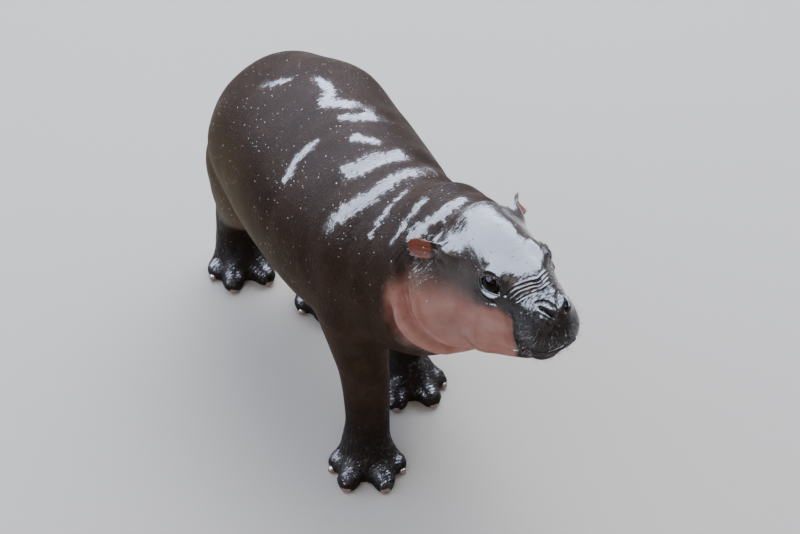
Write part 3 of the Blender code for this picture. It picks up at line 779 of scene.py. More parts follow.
def ear(side, rows=46, columns=64):
    """An ear as a closed tube of crescents: across = w cos v, out = cup w (cos^2 v - 1/2) + t/2 sin v."""
    root, reach, across, face = ear_axes(side)
    share = EAR_ROWS[0][0] + (1 - EAR_ROWS[0][0]) * (1 - (1 - np.linspace(0, 1, rows)) ** 1.25)[:, None]
    v = np.linspace(0, 2 * np.pi, columns, endpoint=False)[None]
    half, cup, thick = ear_profile(share)
    x, inner = np.cos(v) + 0 * share, np.maximum(np.sin(v), 0) + 0 * share
    out = cup * half * (x ** 2 - 0.5) + 0.5 * thick * np.sin(v)
    out += inner ** 0.5 * 0.0009 * bell(np.abs(x) - 0.90, 0.10) * ramp(share, 0.15, 0.35)   # the rolled rim
    ridges = 0.0011 * bell(x - 0.38, 0.13) + 0.0009 * bell(x + 0.15, 0.12)
    out += inner * ramp(share, 0.10, 0.25) * (1 - ramp(share, 0.55, 0.80)) * ridges
    out -= inner * 0.0032 * bell(share - 0.20, 0.11) * bell(x - 0.1, 0.45)                  # the ear canal
    out -= tip_bend(share)
    wide = half * x * (1 + 0.05 * np.sin(9 * share + 2 * (x > 0)))
    inward = (ramp(-share, 0.0, 0.5) * 1.6)[..., None] * [-np.sign(root[0]) * 0.022, 0.004, -0.012]
    points = root + share[..., None] * reach + inward + wide[..., None] * across + out[..., None] * face
    ends = [points[0].mean(0, keepdims=True), points[-1].mean(0, keepdims=True)]
    points = np.concatenate([ends[0], points.reshape(-1, 3), ends[1]])
    return from_head(points), tube_faces(rows, columns)


def facing_out(points, faces):
    """The faces, turned round if the closed shape they make has a negative volume."""
    a, b, c = (points[faces[:, i]] for i in range(3))
    return faces if (a * np.cross(b, c)).sum() > 0 else faces[:, ::-1]


def united(points, faces, other):
    """Two closed shapes as one, by an exact union."""
    tool = add_piece("tool", other[0], facing_out(*other))
    points, faces = through_modifier(points, faces, "BOOLEAN", operation="UNION", solver="MANIFOLD",
                                     object=tool)
    bpy.data.objects.remove(tool)
    return points, faces


def ear_places(points, side):
    """For points of the calf's frame: share along an ear, place across it as a share of the half width, and
    height over the middle of its wall."""
    root, reach, across, face = ear_axes(side)
    offset = in_head(points) - root
    share = offset @ reach / (reach @ reach)
    offset = offset - share[:, None] * reach
    half, cup, thick = ear_profile(np.clip(share, EAR_ROWS[0][0], 1))
    x = offset @ across / np.maximum(half, 0.002)
    sunk = cup * half * (np.minimum(x ** 2, 1.5) - 0.5) - tip_bend(share)
    return share, x, offset @ face - sunk


for side in ("left", "right"):
    points, faces = united(points, faces, ear(side))
    share, x, rise = ear_places(points, side)
    at_root = (np.abs(x) < 3.2) & (np.abs(rise) < 0.024)
    points = relaxed(points, faces, 14, at_root * bell(share - 0.01, 0.16), 0)
print("with ears:", len(points), "points,", len(faces), "triangles")

# %% [markdown]
# ## Eyeballs
#
# A calf's eye is a dark ball, and its cornea bulges a little out of it. A plain sphere would look like a
# bead, so the radius here grows towards the eye's axis. Directions on a grid of rings make the ball. The same
# grid, stretched and squared, makes the nails later.

# %% Eyes
def ball_grid(rows, columns):
    """Unit directions on a closed grid of a sphere about z, and its faces; the poles are single points."""
    high = np.linspace(0, np.pi, rows + 1)[1:-1, None]
    wide = np.linspace(0, 2 * np.pi, columns, endpoint=False)[None]
    ring = np.stack([np.sin(high) * np.cos(wide), np.sin(high) * np.sin(wide), np.cos(high) + 0 * wide], 2)
    points = np.concatenate([[[0, 0, 1]], ring.reshape(-1, 3), [[0, 0, -1]]])
    return points, tube_faces(rows - 1, columns)[:, ::-1]


def eyeball(side, hand):
    """A ball whose front bulges as the cornea does: the radius grows by 4% at the eye's axis, as a bell 30
    degrees wide."""
    directions, faces = ball_grid(48, 64)
    bulge = 1 + 0.04 * bell(np.arccos(np.clip(directions[:, 2], -1, 1)), math.radians(30))
    basis = np.stack([EYE_AHEAD, EYE_UP, EYE_OUT], 1)
    local = (directions * (BALL * bulge)[:, None]) @ basis.T + EYE_CENTRE - SUNK * EYE_OUT
    placed = from_head(local * [hand, 1, 1])
    return add_piece(f"eye_{side}_finished", placed, facing_out(placed, faces))


eyes = {side: eyeball(side, hand) for side, hand in (("left", 1), ("right", -1))}
print("eyes:", {side: len(eye.data.polygons) for side, eye in eyes.items()}, "triangles")

# %% [markdown]
# ## Nails
#
# Each of the sixteen toes ends in a small hoof-like nail of horn. Only its tip shows on a calf: a blunt
# dome that leans back at the top, with faint growth lines that run round it. A nail could be cut from the
# toe, but horn and skin meet in a sharp line, so each is a piece of its own, half sunk in the toe's pad.
# The toes' places and headings are known from the feet.

# %% Nails of horn
NAIL_SHARES = np.array([0.66, 0.85, 0.66])      # of the solid nail's radii: aside, ahead and up


def nail_shape(root, heading, length, radii):
    """A ball stretched to the radii and squared off a little, narrower towards the top, with growth lines
    as a ripple along its height. Its front stands 7 mm ahead of the solid nail's middle."""
    directions, faces = ball_grid(26, 36)
    x, y, z = directions.T
    squared = (np.abs(x) ** 2.6 + np.abs(y) ** 2.6 + np.abs(z) ** 2.6) ** (-1 / 2.6)
    wide, deep, high = NAIL_SHARES * radii
    x, y, z = x * squared * wide, y * squared * deep, z * squared * high
    ripple = 1 + 0.014 * np.sin(z / 0.0011 * 2 * np.pi * 0.35)
    x, y = x * ripple * (1 - 0.12 * z / high), y * ripple * (1 - 0.20 * z / high)
    local = np.stack([x, y - (length + 0.0070 - deep), z + high + 0.0016], 1)
    local[:, 2] = np.maximum(local[:, 2], 0.0008)
    return local @ turn(heading, 2).T + [*root, 0], faces


nails = {name: add_piece(f"{name}_finished", *nail_shape(*toe)) for name, *toe in toes()}
print("nails:", len(nails))

# %% [markdown]
# ## What lies where on the skin
#
# One material covers the whole skin, and a few amounts per point tell it what is where: pink cheeks and
# throat, near-black muzzle, eye patches and feet, olive belly and haunches with painted light bounced up
# from the ground in it, the inside of the ears with painted shade in the cup, painted shade in the creases,
# and water. Painting them by hand on a texture would need a map. Here each is worked out from the point's
# place on the body, with a slow wave so that no edge is straight, and stored as a colour attribute.

# %% Pink, dark, and olive with painted bounce light
local, folded = in_head(points), both_sides(points)
x, y, z = points.T
wave = 0.5 * slow_wave(points, 0.05, 40) + 0.5 * slow_wave(points, 0.018, 41)
normals = normals_of(points, faces)


def below_line(stations, width):
    """For the folded head: 1 below a line given as pairs of y and z, 0 above it, over a soft width."""
    stations = np.array(stations)
    line = np.interp(folded[:, 1], stations[:, 0], stations[:, 1])
    return 1 - ramp(folded[:, 2] + 0.003 * wave, line - width / 2, line + width / 2)


cheek_line = [(-0.108, -0.036), (-0.0938, -0.0338), (-0.0832, -0.0305), (-0.0708, -0.0352),
              (-0.0549, -0.0420), (-0.030, -0.044), (0.000, -0.047), (0.030, -0.047), (0.060, -0.075)]
behind_lip = ramp(folded[:, 1] + 0.0015 * wave + 0.10 * (folded[:, 2] + 0.07), -0.1075, -0.1005)
softly = 0.014 + 0.030 * ramp(folded[:, 1], -0.075, -0.035)
jowl_end = np.interp(folded[:, 2], (-0.165, -0.150, -0.130, -0.108, -0.064, -0.030),
                     (-0.026, -0.004, 0.018, 0.031, 0.046, 0.050)) + 0.0025 * wave
pink = below_line(cheek_line, softly) * behind_lip * (1 - ramp(folded[:, 1] - jowl_end, -0.006, 0.008))
chest = ramp(-y, 0.150, 0.205) * (1 - ramp(z, 0.195, 0.235)) * ramp(z, 0.150, 0.190)
chest *= ramp(-normals[:, 2], -0.3, 0.5)
# Painted shade: the pink is cut by 30% in the middle of the cheek, where shade falls
pink *= 1 - 0.30 * patch(points, (0.066, -0.026, -0.093), (0.030, 0.040, 0.030), 1)
pink = np.maximum(pink * ramp(local[:, 2], -0.185, -0.165), 0.40 * chest)
muzzle = (1 - behind_lip) * ramp(-local[:, 1], 0.080, 0.100)
from_eye = np.linalg.norm((folded - [0.040, -0.072, -0.012]) / [0.040, 0.034, 0.024], axis=1)
mask = 1 - ramp(from_eye + 0.1 * wave, 0.55, 1.0)
band = (1 - below_line(cheek_line, 0.010)) * ramp(-local[:, 1], 0.070, 0.100)
band *= 1 - ramp(local[:, 2], -0.012, 0.004)
feet = 1 - ramp(z + 0.012 * wave, 0.040, 0.165)
dark = np.clip(np.maximum.reduce([0.72 * muzzle, 0.90 * mask, 0.65 * band, 0.72 * feet]), 0, 1)
dark *= 1 - 0.9 * pink
# Painted light: the olive on the undersides, lower flanks and lower haunches is partly the belly's own colour
# and partly light bounced up from the ground
under_side = ramp(0.285 - z + 0.012 * wave, 0.0, 0.10) * ramp(-normals[:, 2], -0.35, 0.75) * (z > 0.10)
under_side *= ramp(y, -0.11, -0.02)
flank = ramp(0.335 - z + 0.012 * wave, 0, 0.12) * ramp(y, -0.08, 0.10) * ramp(z, 0.10, 0.15)
haunch = ramp(y + 0.60 * (0.30 - z) + 0.006 * wave, 0.060, 0.140) * ramp(z, 0.10, 0.15)
haunch *= 1 - ramp(z, 0.30, 0.36)
olive_and_bounce = np.maximum.reduce([under_side, 0.75 * flank, 0.95 * haunch])
print("pink", round(pink.mean(), 3), "dark", round(dark.mean(), 3), "olive_and_bounce", round(olive_and_bounce.mean(), 3))

# %% [markdown]
# The ears are pink inside, with a paler rim that carries the bristles. Creases get painted shade: they
# are coloured darker than the skin round them, as the shade that falls in them. Where they lie comes from
# the shape itself: a point that lies below the mean of its neighbours is in a crease.

# %% Ears, and painted shade in the creases
inner_ear, ear_rim, in_cup = np.zeros((3, len(points)))
for side in ("left", "right"):
    share, across_ear, rise = ear_places(points, side)
    on_ear = ramp(share, 0.10, 0.22) * (share < 1.03) * (np.abs(across_ear) < 1.3) * (np.abs(rise) < 0.008)
    inner_ear = np.maximum(inner_ear, on_ear * ramp(rise, 0.0002, 0.0012) * ramp(share, 0.28, 0.40))
    in_cup = np.maximum(in_cup, on_ear * ramp(rise, 0.0002, 0.0012))
    ear_rim = np.maximum(ear_rim, on_ear * ramp(np.abs(across_ear), 0.80, 0.98) * ramp(share, 0.30, 0.45))

CREASE_RADIUS = 0.0016          # a hollow about this sharp counts in full
ends, others, count = neighbours_of(points, faces)
sinking = summed(ends, points[others], len(points)) / count - points
spacing = np.bincount(ends, np.linalg.norm(points[others] - points[ends], axis=1), len(points)) / count[:, 0]
crease_shade = np.clip((sinking * normals).sum(1) / spacing ** 2 * CREASE_RADIUS, -1, 1)
for _ in range(2):
    crease_shade = 0.5 * crease_shade + 0.5 * np.bincount(ends, crease_shade[others], len(points)) / count[:, 0]
print("hollow points:", int((crease_shade > 0.1).sum()))

# %% [markdown]
# Water covers the head in front of the ears, less of it on the muzzle, round the eyes and on the bridge.
# Behind the head it lies on the crests of the folds and in patches along the spine, and it stands on the
# toes. The crests are lines on the back in plan, each with a half width.

# %% Water
WET_LINES = (
    ("shoulder roll",
     [(-0.084, -0.052), (-0.060, -0.060), (-0.036, -0.064), (0.013, -0.053), (0.054, -0.044)], 0.0072),
    ("before the shoulder", [(-0.056, -0.103), (-0.033, -0.095), (0.006, -0.078)], 0.0026),
    ("nape roll", [(-0.042, -0.131), (-0.018, -0.126), (0.008, -0.116)], 0.0030),
    ("behind the skull", [(-0.022, -0.143), (0.014, -0.149), (0.044, -0.142)], 0.0062),
    ("spine 1", [(-0.034, -0.011), (0.000, -0.013), (0.034, -0.012)], 0.0095),
    ("spine 2", [(-0.002, 0.038), (0.016, 0.022)], 0.0060),
    ("spine 3", [(0.002, 0.074), (0.050, 0.066)], 0.0060),
    ("spine 4", [(0.010, 0.158), (0.014, 0.132), (-0.004, 0.112), (0.014, 0.104), (0.038, 0.088)], 0.0075),
    ("flank fold", [(-0.092, 0.045), (-0.069, 0.054), (-0.044, 0.058)], 0.0042),
    ("rump 1", [(-0.047, 0.196), (-0.040, 0.186)], 0.0050),
    ("rump 2", [(-0.034, 0.184), (-0.020, 0.178)], 0.0035),
)


def to_segments(points, stations):
    """Distance in plan to a run of straight segments."""
    nearest = np.full(len(points), 9.0)
    for start, end in zip(stations[:-1], stations[1:]):
        run = np.subtract(end, start)
        offset = points[:, :2] - start
        t = np.clip(offset @ run / (run @ run), 0, 1)
        nearest = np.minimum(nearest, np.linalg.norm(offset - t[:, None] * run, axis=1))
    return nearest


wet = 1 - ramp(local[:, 1] + 0.006 * wave, 0.020, 0.034)
wet -= 0.6 * patch(points, (0.030, 0.012, 0.030), (0.020, 0.024, 0.030), 0.5)      # dry beside the crown
wet *= 1 - 0.34 * muzzle
wet *= 1 - 0.75 * patch(points, EYE_CENTRE + [0.008, -0.003, 0.006], (0.018, 0.018, 0.014), 0.4)
wet *= 1 - 0.28 * patch(points, (0.012, -0.108, -0.004), (0.042, 0.030, 0.024), 0.4)
for label, stations, half in WET_LINES:
    away = to_segments(points, stations) + 0.40 * half * slow_wave(points, 0.014, 50)
    wet = np.maximum(wet, 0.80 * (1 - ramp(away, 0.3 * half, 1.9 * half)) * (z > 0.3))
for name, root, heading, length, radii in toes():
    from_tip = np.linalg.norm(points - on_toe(root, heading, length - 0.010, 0.016), axis=1)
    wet = np.maximum(wet, 0.85 * bell(from_tip, 0.011))
wet = np.maximum(wet, 0.30 * ramp(-z, -0.075, -0.050))              # the feet
wet *= 0.3 + 0.7 * ramp(normals[:, 2], -0.45, 0.0)                  # it runs off what faces down
wet = wet * (1 - 0.8 * in_cup)
crepe_amount = 0.35 + ramp(-y, -0.03, 0.04) * (1 - ramp(-local[:, 1], -0.03, 0.02))
crepe_amount += 0.9 * ramp(-z, -0.08, -0.03)


def store(mesh, name, *channels):
    """Four amounts per point as a colour attribute."""
    attribute = mesh.attributes.new(name, "FLOAT_COLOR", "POINT")
    attribute.data.foreach_set("color", np.stack(channels, 1).astype(np.float32).ravel())


DRY, WET_SPAN = -0.6, 2.2        # what is stored where the skin is dry, and how much more where it is wet
skin = add_piece("skin", points, faces)
store(skin.data, "tones", pink, dark, olive_and_bounce, WET_SPAN * np.clip(wet, 0, 1) + DRY)
store(skin.data, "places", inner_ear, np.clip(crease_shade, 0, 1), ear_rim, crepe_amount)
print("skin:", len(faces), "triangles, wet share", round((wet > 0.5).mean(), 3))

# %% [markdown]
# ## Bristles
#
# The calf is nearly bare. What it has are stiff bristles, each standing alone: on the lips and chin, lashes
# on the upper lids, a short fringe on the ears' rims and a thin tuft at the end of the tail. They are solid
# three-sided cones that bend with their length, all in one mesh. The map OFBake gives each one a patch
# 0.003 across. It lies at the place of its root on an unrolled skin: the angle about the body's long axis
# against the distance along the body.

# %% Bristles
MAP_PATCH = 0.003                # how wide one bristle's patch of the map is


def on_skin(amount, number, seed):
    """Random places on the skin, more where the amount per point is greater, and the normals there."""
    random = np.random.default_rng(seed)
    a, b, c = (points[faces[:, i]] for i in range(3))
    weight = np.linalg.norm(np.cross(b - a, c - a), axis=1) * amount[faces].mean(1)
    chosen = random.choice(len(faces), number, p=weight / weight.sum())
    shares = random.dirichlet((1, 1, 1), number)[:, :, None]
    return (points[faces[chosen]] * shares).sum(1), (normals[faces[chosen]] * shares).sum(1)


def bristle_mesh(roots, heading, bend, lengths, radii):
    """Points, faces and map of many bristles: centre = root + length (t heading + t^2 bend), with a radius
    that falls to a point at t = 1."""
    t = np.array([-0.06, 0.30, 0.65])[None, :, None]        # the first ring is under the skin
    heading = heading / np.linalg.norm(heading, axis=1, keepdims=True)
    aside = np.cross(heading, [0.31, 0.55, 0.78])
    aside /= np.linalg.norm(aside, axis=1, keepdims=True)
    third = np.cross(heading, aside)
    centre = roots[:, None] + lengths[:, None, None] * (t * heading[:, None] + t * np.abs(t) * bend[:, None])
    angle = np.arange(3) * 2 * np.pi / 3
    ring = np.cos(angle)[:, None] * aside[:, None] + np.sin(angle)[:, None] * third[:, None]
    rings = centre[:, :, None] + (radii[:, None, None] * (1 - 0.8 * t))[..., None] * ring[:, None]
    tips = roots + lengths[:, None] * (heading + bend)
    corners = np.concatenate([rings.reshape(len(roots), 9, 3), tips[:, None]], 1)
    side = [(3 * r + i, 3 * r + (i + 1) % 3, 3 * r + 3 + (i + 1) % 3, 3 * r + 3 + i)
            for r in (0, 1) for i in range(3)]
    one = [corner for a, b, c, d in side for corner in ((a, b, c), (a, c, d))]
    one += [(6, 7, 9), (7, 8, 9), (8, 6, 9), (0, 2, 1)]
    triangles = np.array(one)[None] + 10 * np.arange(len(roots))[:, None, None]
    angle_about_body = np.arctan2(roots[:, 0], roots[:, 2] - AXIS[2])
    unrolled = np.stack([0.5 + angle_about_body / (2 * np.pi), 0.5 + roots[:, 1]], 1)
    spread = MAP_PATCH * np.stack([np.tile([0, 0.5, 1], 3), np.repeat([0, 0.35, 0.7], 3)], 1)
    spread = np.concatenate([spread, [[MAP_PATCH / 2, MAP_PATCH]]])
    return corners.reshape(-1, 3), triangles.reshape(-1, 3), (unrolled[:, None] + spread).reshape(-1, 2)


lid_ahead, lid_up, lid_out = eye_distances(folded)
margin = bell(beyond_opening(lid_ahead, lid_up) - 0.0012, 0.0006)
margin *= (np.hypot(lid_ahead, lid_up) < 0.022) * (lid_out > 0)
upper_margin = margin * ramp(lid_up - 0.15 * lid_ahead, 0.001, 0.004)
lips = ramp(-local[:, 1], 0.108, 0.135) * (1 - ramp(local[:, 2], -0.045, -0.015))
lips *= ramp(local[:, 2], -0.115, -0.095)
nose = muzzle * ramp(folded[:, 2], -0.045, -0.02) * (normals[:, 2] > -0.2)
tail_low, tail_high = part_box("tail")
at_tail = ((points > tail_low) & (points < np.add(tail_high, 0.004))).all(1)
at_tail = at_tail * (1 - ramp(z, tail_low[2], tail_low[2] + 0.03))
# Where, how many, length and radius in metres, share of the normal in the heading, how they lie in the
# head's frame, and how much they bend that way
BRISTLES = (
    (lips, 230, (0.0050, 0.0100), 0.00016, 1.0, (0.0, 0.5, -0.6), 0.25),
    (nose, 90, (0.0025, 0.0045), 0.00013, 0.8, (0.0, 0.8, 0.0), 0.2),
    (upper_margin, 70, (0.0035, 0.0060), 0.00012, 0.9, (0.0, -0.5, -0.7), 0.25),
    (ear_rim, 150, (0.0025, 0.0050), 0.00012, 0.8, (0.0, 0.7, 0.1), 0.2),
    (at_tail, 90, (0.0070, 0.0120), 0.00016, 0.4, (0.0, 0.1, -1.0), 0.1),
)
pieces = []
for seed, (amount, number, reach, thick, share, lie, bend) in enumerate(BRISTLES, 70):
    random = np.random.default_rng(seed)
    roots, up_there = on_skin(amount, number, seed)
    lie_there = np.array(lie) @ HEAD_TURN.T + 0.25 * random.normal(size=(number, 3))
    lengths = random.uniform(*reach, number)
    pieces.append(bristle_mesh(roots, share * up_there + 0.7 * lie_there, bend * lie_there, lengths,
                               thick * random.uniform(0.8, 1.2, number)))
spots, triangles = put_together([piece[:2] for piece in pieces])
bristle_piece = add_piece("bristles", spots, triangles)
mapping = bristle_piece.data.uv_layers.new(name="OFBake")
corner_points = np.empty(3 * len(triangles), np.int64)
bristle_piece.data.loops.foreach_get("vertex_index", corner_points)
mapping.data.foreach_set("uv", np.concatenate([piece[2] for piece in pieces])[corner_points].ravel())
print("bristles:", sum(row[1] for row in BRISTLES), "with", len(triangles), "triangles")

# %% [markdown]
# ## Materials
#
# A material here is a recipe of nodes: patterns made from the place on the object, mixed and handed to one
# shader. An image texture would fix its size and need a map, and these don't. One function adds a node with
# its values and links, and colours are written as sRGB codes and turned to linear light.

# %% Colours and nodes
def linear(code):
    """An sRGB hex colour as linear values with alpha 1."""
    parts = [int(code[i:i + 2], 16) / 255 for i in (1, 3, 5)]
    return (*(part / 12.92 if part <= 0.04045 else ((part + 0.055) / 1.055) ** 2.4 for part in parts), 1.0)


def add_node(tree, kind, settings=None, **inputs):
    """A node with its settings, and its inputs as values, or as links from a socket or a node's first output.
    An input is named, with _ for a space, or numbered as i0, i1 and so on."""
    node = tree.nodes.new(kind)
    for key, value in (settings or {}).items():
        setattr(node, key, value)
    for key, value in inputs.items():
        socket = node.inputs[int(key[1:]) if key[0] == "i" and key[1:].isdigit() else key.replace("_", " ")]
        if isinstance(value, bpy.types.Node):
            value = value.outputs[0]
        if isinstance(value, bpy.types.NodeSocket):
            tree.links.new(value, socket)
        else:
            socket.default_value = value
    return node


def new_material(name):
    """An empty material and its tree."""
    material = bpy.data.materials.new(name)
    material.use_nodes = True
    material.node_tree.nodes.clear()
    return material, material.node_tree


print("dark hide in linear light:", [round(part, 4) for part in linear("#32261f")])

# %% [markdown]
# The skin is bare hide, smooth and grey-brown on the back. It gets two layers: satin skin with fine pores
# and crepe lines, and over it a clear coat for the film of water, which gives the sharp white sheen. Where
# the coat is dry its weight falls and the hide looks velvety. A second shader for the water, mixed in by a
# mask, would lose the skin's colour under it.

# %% The hide's colours
hide, tree = new_material("wet_bare_skin")
place = add_node(tree, "ShaderNodeTexCoord").outputs["Object"]
tones = add_node(tree, "ShaderNodeAttribute", {"attribute_name": "tones"})
places = add_node(tree, "ShaderNodeAttribute", {"attribute_name": "places"})
tone = add_node(tree, "ShaderNodeSeparateColor", None, Color=tones).outputs
spot = add_node(tree, "ShaderNodeSeparateColor", None, Color=places).outputs
COLOUR_MIX = {"data_type": "RGBA"}      # the node's inputs 0, 6 and 7 are then its share and two colours

# Blotches 40 mm and freckles 4 mm across vary the brown and the pink
blotch = add_node(tree, "ShaderNodeTexNoise", None, Vector=place, Scale=25.0, Detail=3.0, Roughness=0.6)
freckle = add_node(tree, "ShaderNodeTexNoise", None, Vector=place, Scale=260.0, Detail=2.0)
blotch = add_node(tree, "ShaderNodeMapRange", None, Value=blotch, From_Min=0.38, From_Max=0.64)
freckle = add_node(tree, "ShaderNodeMapRange", None, Value=freckle, From_Min=0.45, From_Max=0.75, To_Max=0.5)
skin_colour, flush = (
    add_node(tree, "ShaderNodeMix", COLOUR_MIX, i0=blotch, i6=linear(low), i7=linear(high)).outputs[2]
    for low, high in (("#32261f", "#3f3129"), ("#97645a", "#aa7e77")))
for share, over in (
    (freckle, linear("#241c18")),
    # Painted bounce light: olive on the belly, flanks and haunches, partly their own colour and partly light
    # thrown up from the ground
    (tone["Blue"], linear("#4c3f2d")),        # olive belly, flanks and haunches
    (tone["Red"], flush),                     # cheeks and throat
    (tone["Green"], linear("#141211")),       # muzzle, round the eyes, feet
    # Painted shade: the pink inside the ears is darkened for the shade in the cup
    (spot["Red"], linear("#7f4b3d")),         # inside the ears
    (spot["Blue"], linear("#a67f70")),        # their rims
    # Painted shade: the creases are coloured near-black, as the shade that falls in them
    (spot["Green"], linear("#15100e")),       # creases
):
    skin_colour = add_node(tree, "ShaderNodeMix", COLOUR_MIX, i0=share, i6=skin_colour, i7=over).outputs[2]
print("colour nodes:", len(tree.nodes))

# %% [markdown]
# Two bumps lie over each other. The hide's has pores and crepe lines. The water's follows the crepe lines
# more gently, with ripples and sparse drops. Water on hide ends in a ragged edge, because it creeps along
# the crepe lines, so a noise that is stretched along them decides where the film breaks off.

# %% The hide's relief and its water
# Pores 2 mm apart, coarser than real so that they show, and crepe lines 3 mm apart that run round the body
stretched = add_node(tree, "ShaderNodeMapping", None, Vector=place, Scale=(0.22, 1.0, 0.22))
crepe = add_node(tree, "ShaderNodeTexNoise", None, Vector=stretched, Scale=330.0, Detail=3.0, Distortion=0.5)
crepe = add_node(tree, "ShaderNodeMath", {"operation": "MULTIPLY"}, i0=crepe, i1=places.outputs["Alpha"])
pores = add_node(tree, "ShaderNodeTexVoronoi", {"feature": "SMOOTH_F1"}, Vector=place, Scale=480.0,
                 Smoothness=0.4)
relief = add_node(tree, "ShaderNodeMath", {"operation": "MULTIPLY_ADD"}, i0=pores, i1=0.45, i2=crepe)
skin_bump = add_node(tree, "ShaderNodeBump", None, Strength=0.8, Distance=0.0009, Height=relief)

# The film's ripples are 6 mm long. Its drops are 4 mm apart and up to 2.5 mm wide, and half are left out
ripple = add_node(tree, "ShaderNodeTexNoise", None, Vector=place, Scale=170.0, Detail=4.0, Roughness=0.6)
swell = add_node(tree, "ShaderNodeMath", {"operation": "MULTIPLY_ADD"}, i0=crepe, i1=1.6, i2=ripple)
film_bump = add_node(tree, "ShaderNodeBump", None, Strength=1.0, Distance=0.0005, Height=swell)
cells = add_node(tree, "ShaderNodeTexVoronoi", None, Vector=place, Scale=240.0)
chance = add_node(tree, "ShaderNodeSeparateColor", None, Color=cells.outputs["Color"]).outputs["Red"]
radius = add_node(tree, "ShaderNodeMapRange", None, Value=chance, From_Min=0.50, To_Max=0.30)
drop = add_node(tree, "ShaderNodeMath", {"operation": "SUBTRACT", "use_clamp": True}, i0=radius, i1=cells)
drop = add_node(tree, "ShaderNodeMath", {"operation": "SQRT"}, i0=drop)
drops_bump = add_node(tree, "ShaderNodeBump", None, Strength=1.0, Distance=0.0010, Height=drop,
                      Normal=film_bump)

# The stored wetness plus 5 times a noise has to pass 3 for the film to lie there
fringe = add_node(tree, "ShaderNodeTexNoise", None, Vector=stretched, Scale=620.0, Detail=4.0, Roughness=0.7)
ragged = add_node(tree, "ShaderNodeMath", {"operation": "MULTIPLY_ADD"}, i0=fringe, i1=5.0,
                  i2=tones.outputs["Alpha"])
film = add_node(tree, "ShaderNodeMapRange", None, Value=ragged, From_Min=2.92, From_Max=3.10)
film = add_node(tree, "ShaderNodeMath", {"operation": "MULTIPLY_ADD", "use_clamp": True},
                i0=drop, i1=4.0, i2=film)        # a drop is wet wherever it stands
# Damp hide shines a little more than dry hide, also where no film lies
sheen = add_node(tree, "ShaderNodeMapRange", None, Value=tones.outputs["Alpha"], From_Min=DRY,
                 To_Min=0.028, To_Max=0.080)
surface = add_node(tree, "ShaderNodeBsdfPrincipled", None, Base_Color=skin_colour, Roughness=0.48, IOR=1.40,
                   Specular_IOR_Level=sheen, Subsurface_Weight=0.10,
                   Subsurface_Scale=0.004, Subsurface_Radius=(1.0, 0.35, 0.2),
                   Coat_Weight=film, Coat_Roughness=0.07, Coat_IOR=1.38,
                   Normal=skin_bump, Coat_Normal=drops_bump)
add_node(tree, "ShaderNodeOutputMaterial", None, Surface=surface)
skin.data.materials.append(hide)
print("hide:", len(tree.nodes), "nodes")

# %% [markdown]
# The eyeball is one solid shape, so its colours are painted by direction: a wide dark brown iris with a
# level oval pupil, and a brown-red white that only shows in the corners. The cornea is clear and wet, so
# the whole ball is smooth as water. Its mirror is set low, because the lashes and lids shade a real eye
# from most of the sky.

# %% Wet eyes
IRIS_AT = np.array([0.08, 0.10])        # the iris's middle ahead and up, in ball radii
wet_eye, tree = new_material("wet_eye")
amounts = add_node(tree, "ShaderNodeAttribute", {"attribute_name": "iris"})
amounts = add_node(tree, "ShaderNodeSeparateColor", None, Color=amounts).outputs
place = add_node(tree, "ShaderNodeTexCoord").outputs["Object"]
fibre = add_node(tree, "ShaderNodeTexNoise", None, Vector=place, Scale=900.0, Detail=3.0)
iris = add_node(tree, "ShaderNodeMix", COLOUR_MIX, i0=fibre, i6=linear("#0c0806"), i7=linear("#1a100b"))
eye_colour = linear("#241714")
for share, over in ((amounts["Red"], iris.outputs[2]), (amounts["Green"], linear("#050404"))):
    eye_colour = add_node(tree, "ShaderNodeMix", COLOUR_MIX, i0=share, i6=eye_colour, i7=over).outputs[2]
surface = add_node(tree, "ShaderNodeBsdfPrincipled", None, Base_Color=eye_colour, Roughness=0.08, IOR=1.34,
                   Specular_IOR_Level=0.12)
add_node(tree, "ShaderNodeOutputMaterial", None, Surface=surface)
for eye in eyes.values():
    spots = mesh_arrays(eye.data)[0]
    offset = (both_sides(spots) - (EYE_CENTRE - SUNK * EYE_OUT)) / BALL
    ahead, up, behind = offset @ EYE_AHEAD - IRIS_AT[0], offset @ EYE_UP - IRIS_AT[1], offset @ EYE_OUT < 0
    ring, pupil = np.hypot(ahead, up) + behind, np.hypot(ahead / 1.5, up) + behind
    store(eye.data, "iris", 1 - ramp(ring, 0.60, 0.68), 1 - ramp(pupil, 0.20, 0.24), 0 * ring, 0 * ring)
    eye.data.materials.append(wet_eye)
print("eyes:", len(tree.nodes), "nodes")

# %% [markdown]
# Nails and bristles are both keratin. The nail's horn grows in layers, so it is streaked pinkish grey with
# fine lines that run level, satin where the floor has worn it smooth, and wet like the foot round it. A
# bristle is too thin for a pattern to show: it is a dark grey-brown that catches a thin line of light.

# %% Horn and bristles
horn, tree = new_material("nail_horn")
place = add_node(tree, "ShaderNodeTexCoord").outputs["Object"]
streak = add_node(tree, "ShaderNodeTexNoise", None, Vector=place, Scale=220.0, Detail=3.0)
horn_colour = add_node(tree, "ShaderNodeMix", COLOUR_MIX, i0=streak,
                       i6=linear("#6b544e"), i7=linear("#98796f"))
layers = add_node(tree, "ShaderNodeMapping", None, Vector=place, Scale=(0.2, 0.2, 1.0))
lines = add_node(tree, "ShaderNodeTexNoise", None, Vector=layers, Scale=1400.0, Detail=2.0)
horn_bump = add_node(tree, "ShaderNodeBump", None, Strength=0.4, Distance=0.0003, Height=lines)
surface = add_node(tree, "ShaderNodeBsdfPrincipled", None, Base_Color=horn_colour.outputs[2], Roughness=0.32,
                   IOR=1.55, Subsurface_Weight=0.15, Subsurface_Scale=0.002, Coat_Weight=0.5,
                   Coat_Roughness=0.12, Coat_IOR=1.33, Normal=horn_bump)
add_node(tree, "ShaderNodeOutputMaterial", None, Surface=surface)
for nail in nails.values():
    nail.data.materials.append(horn)

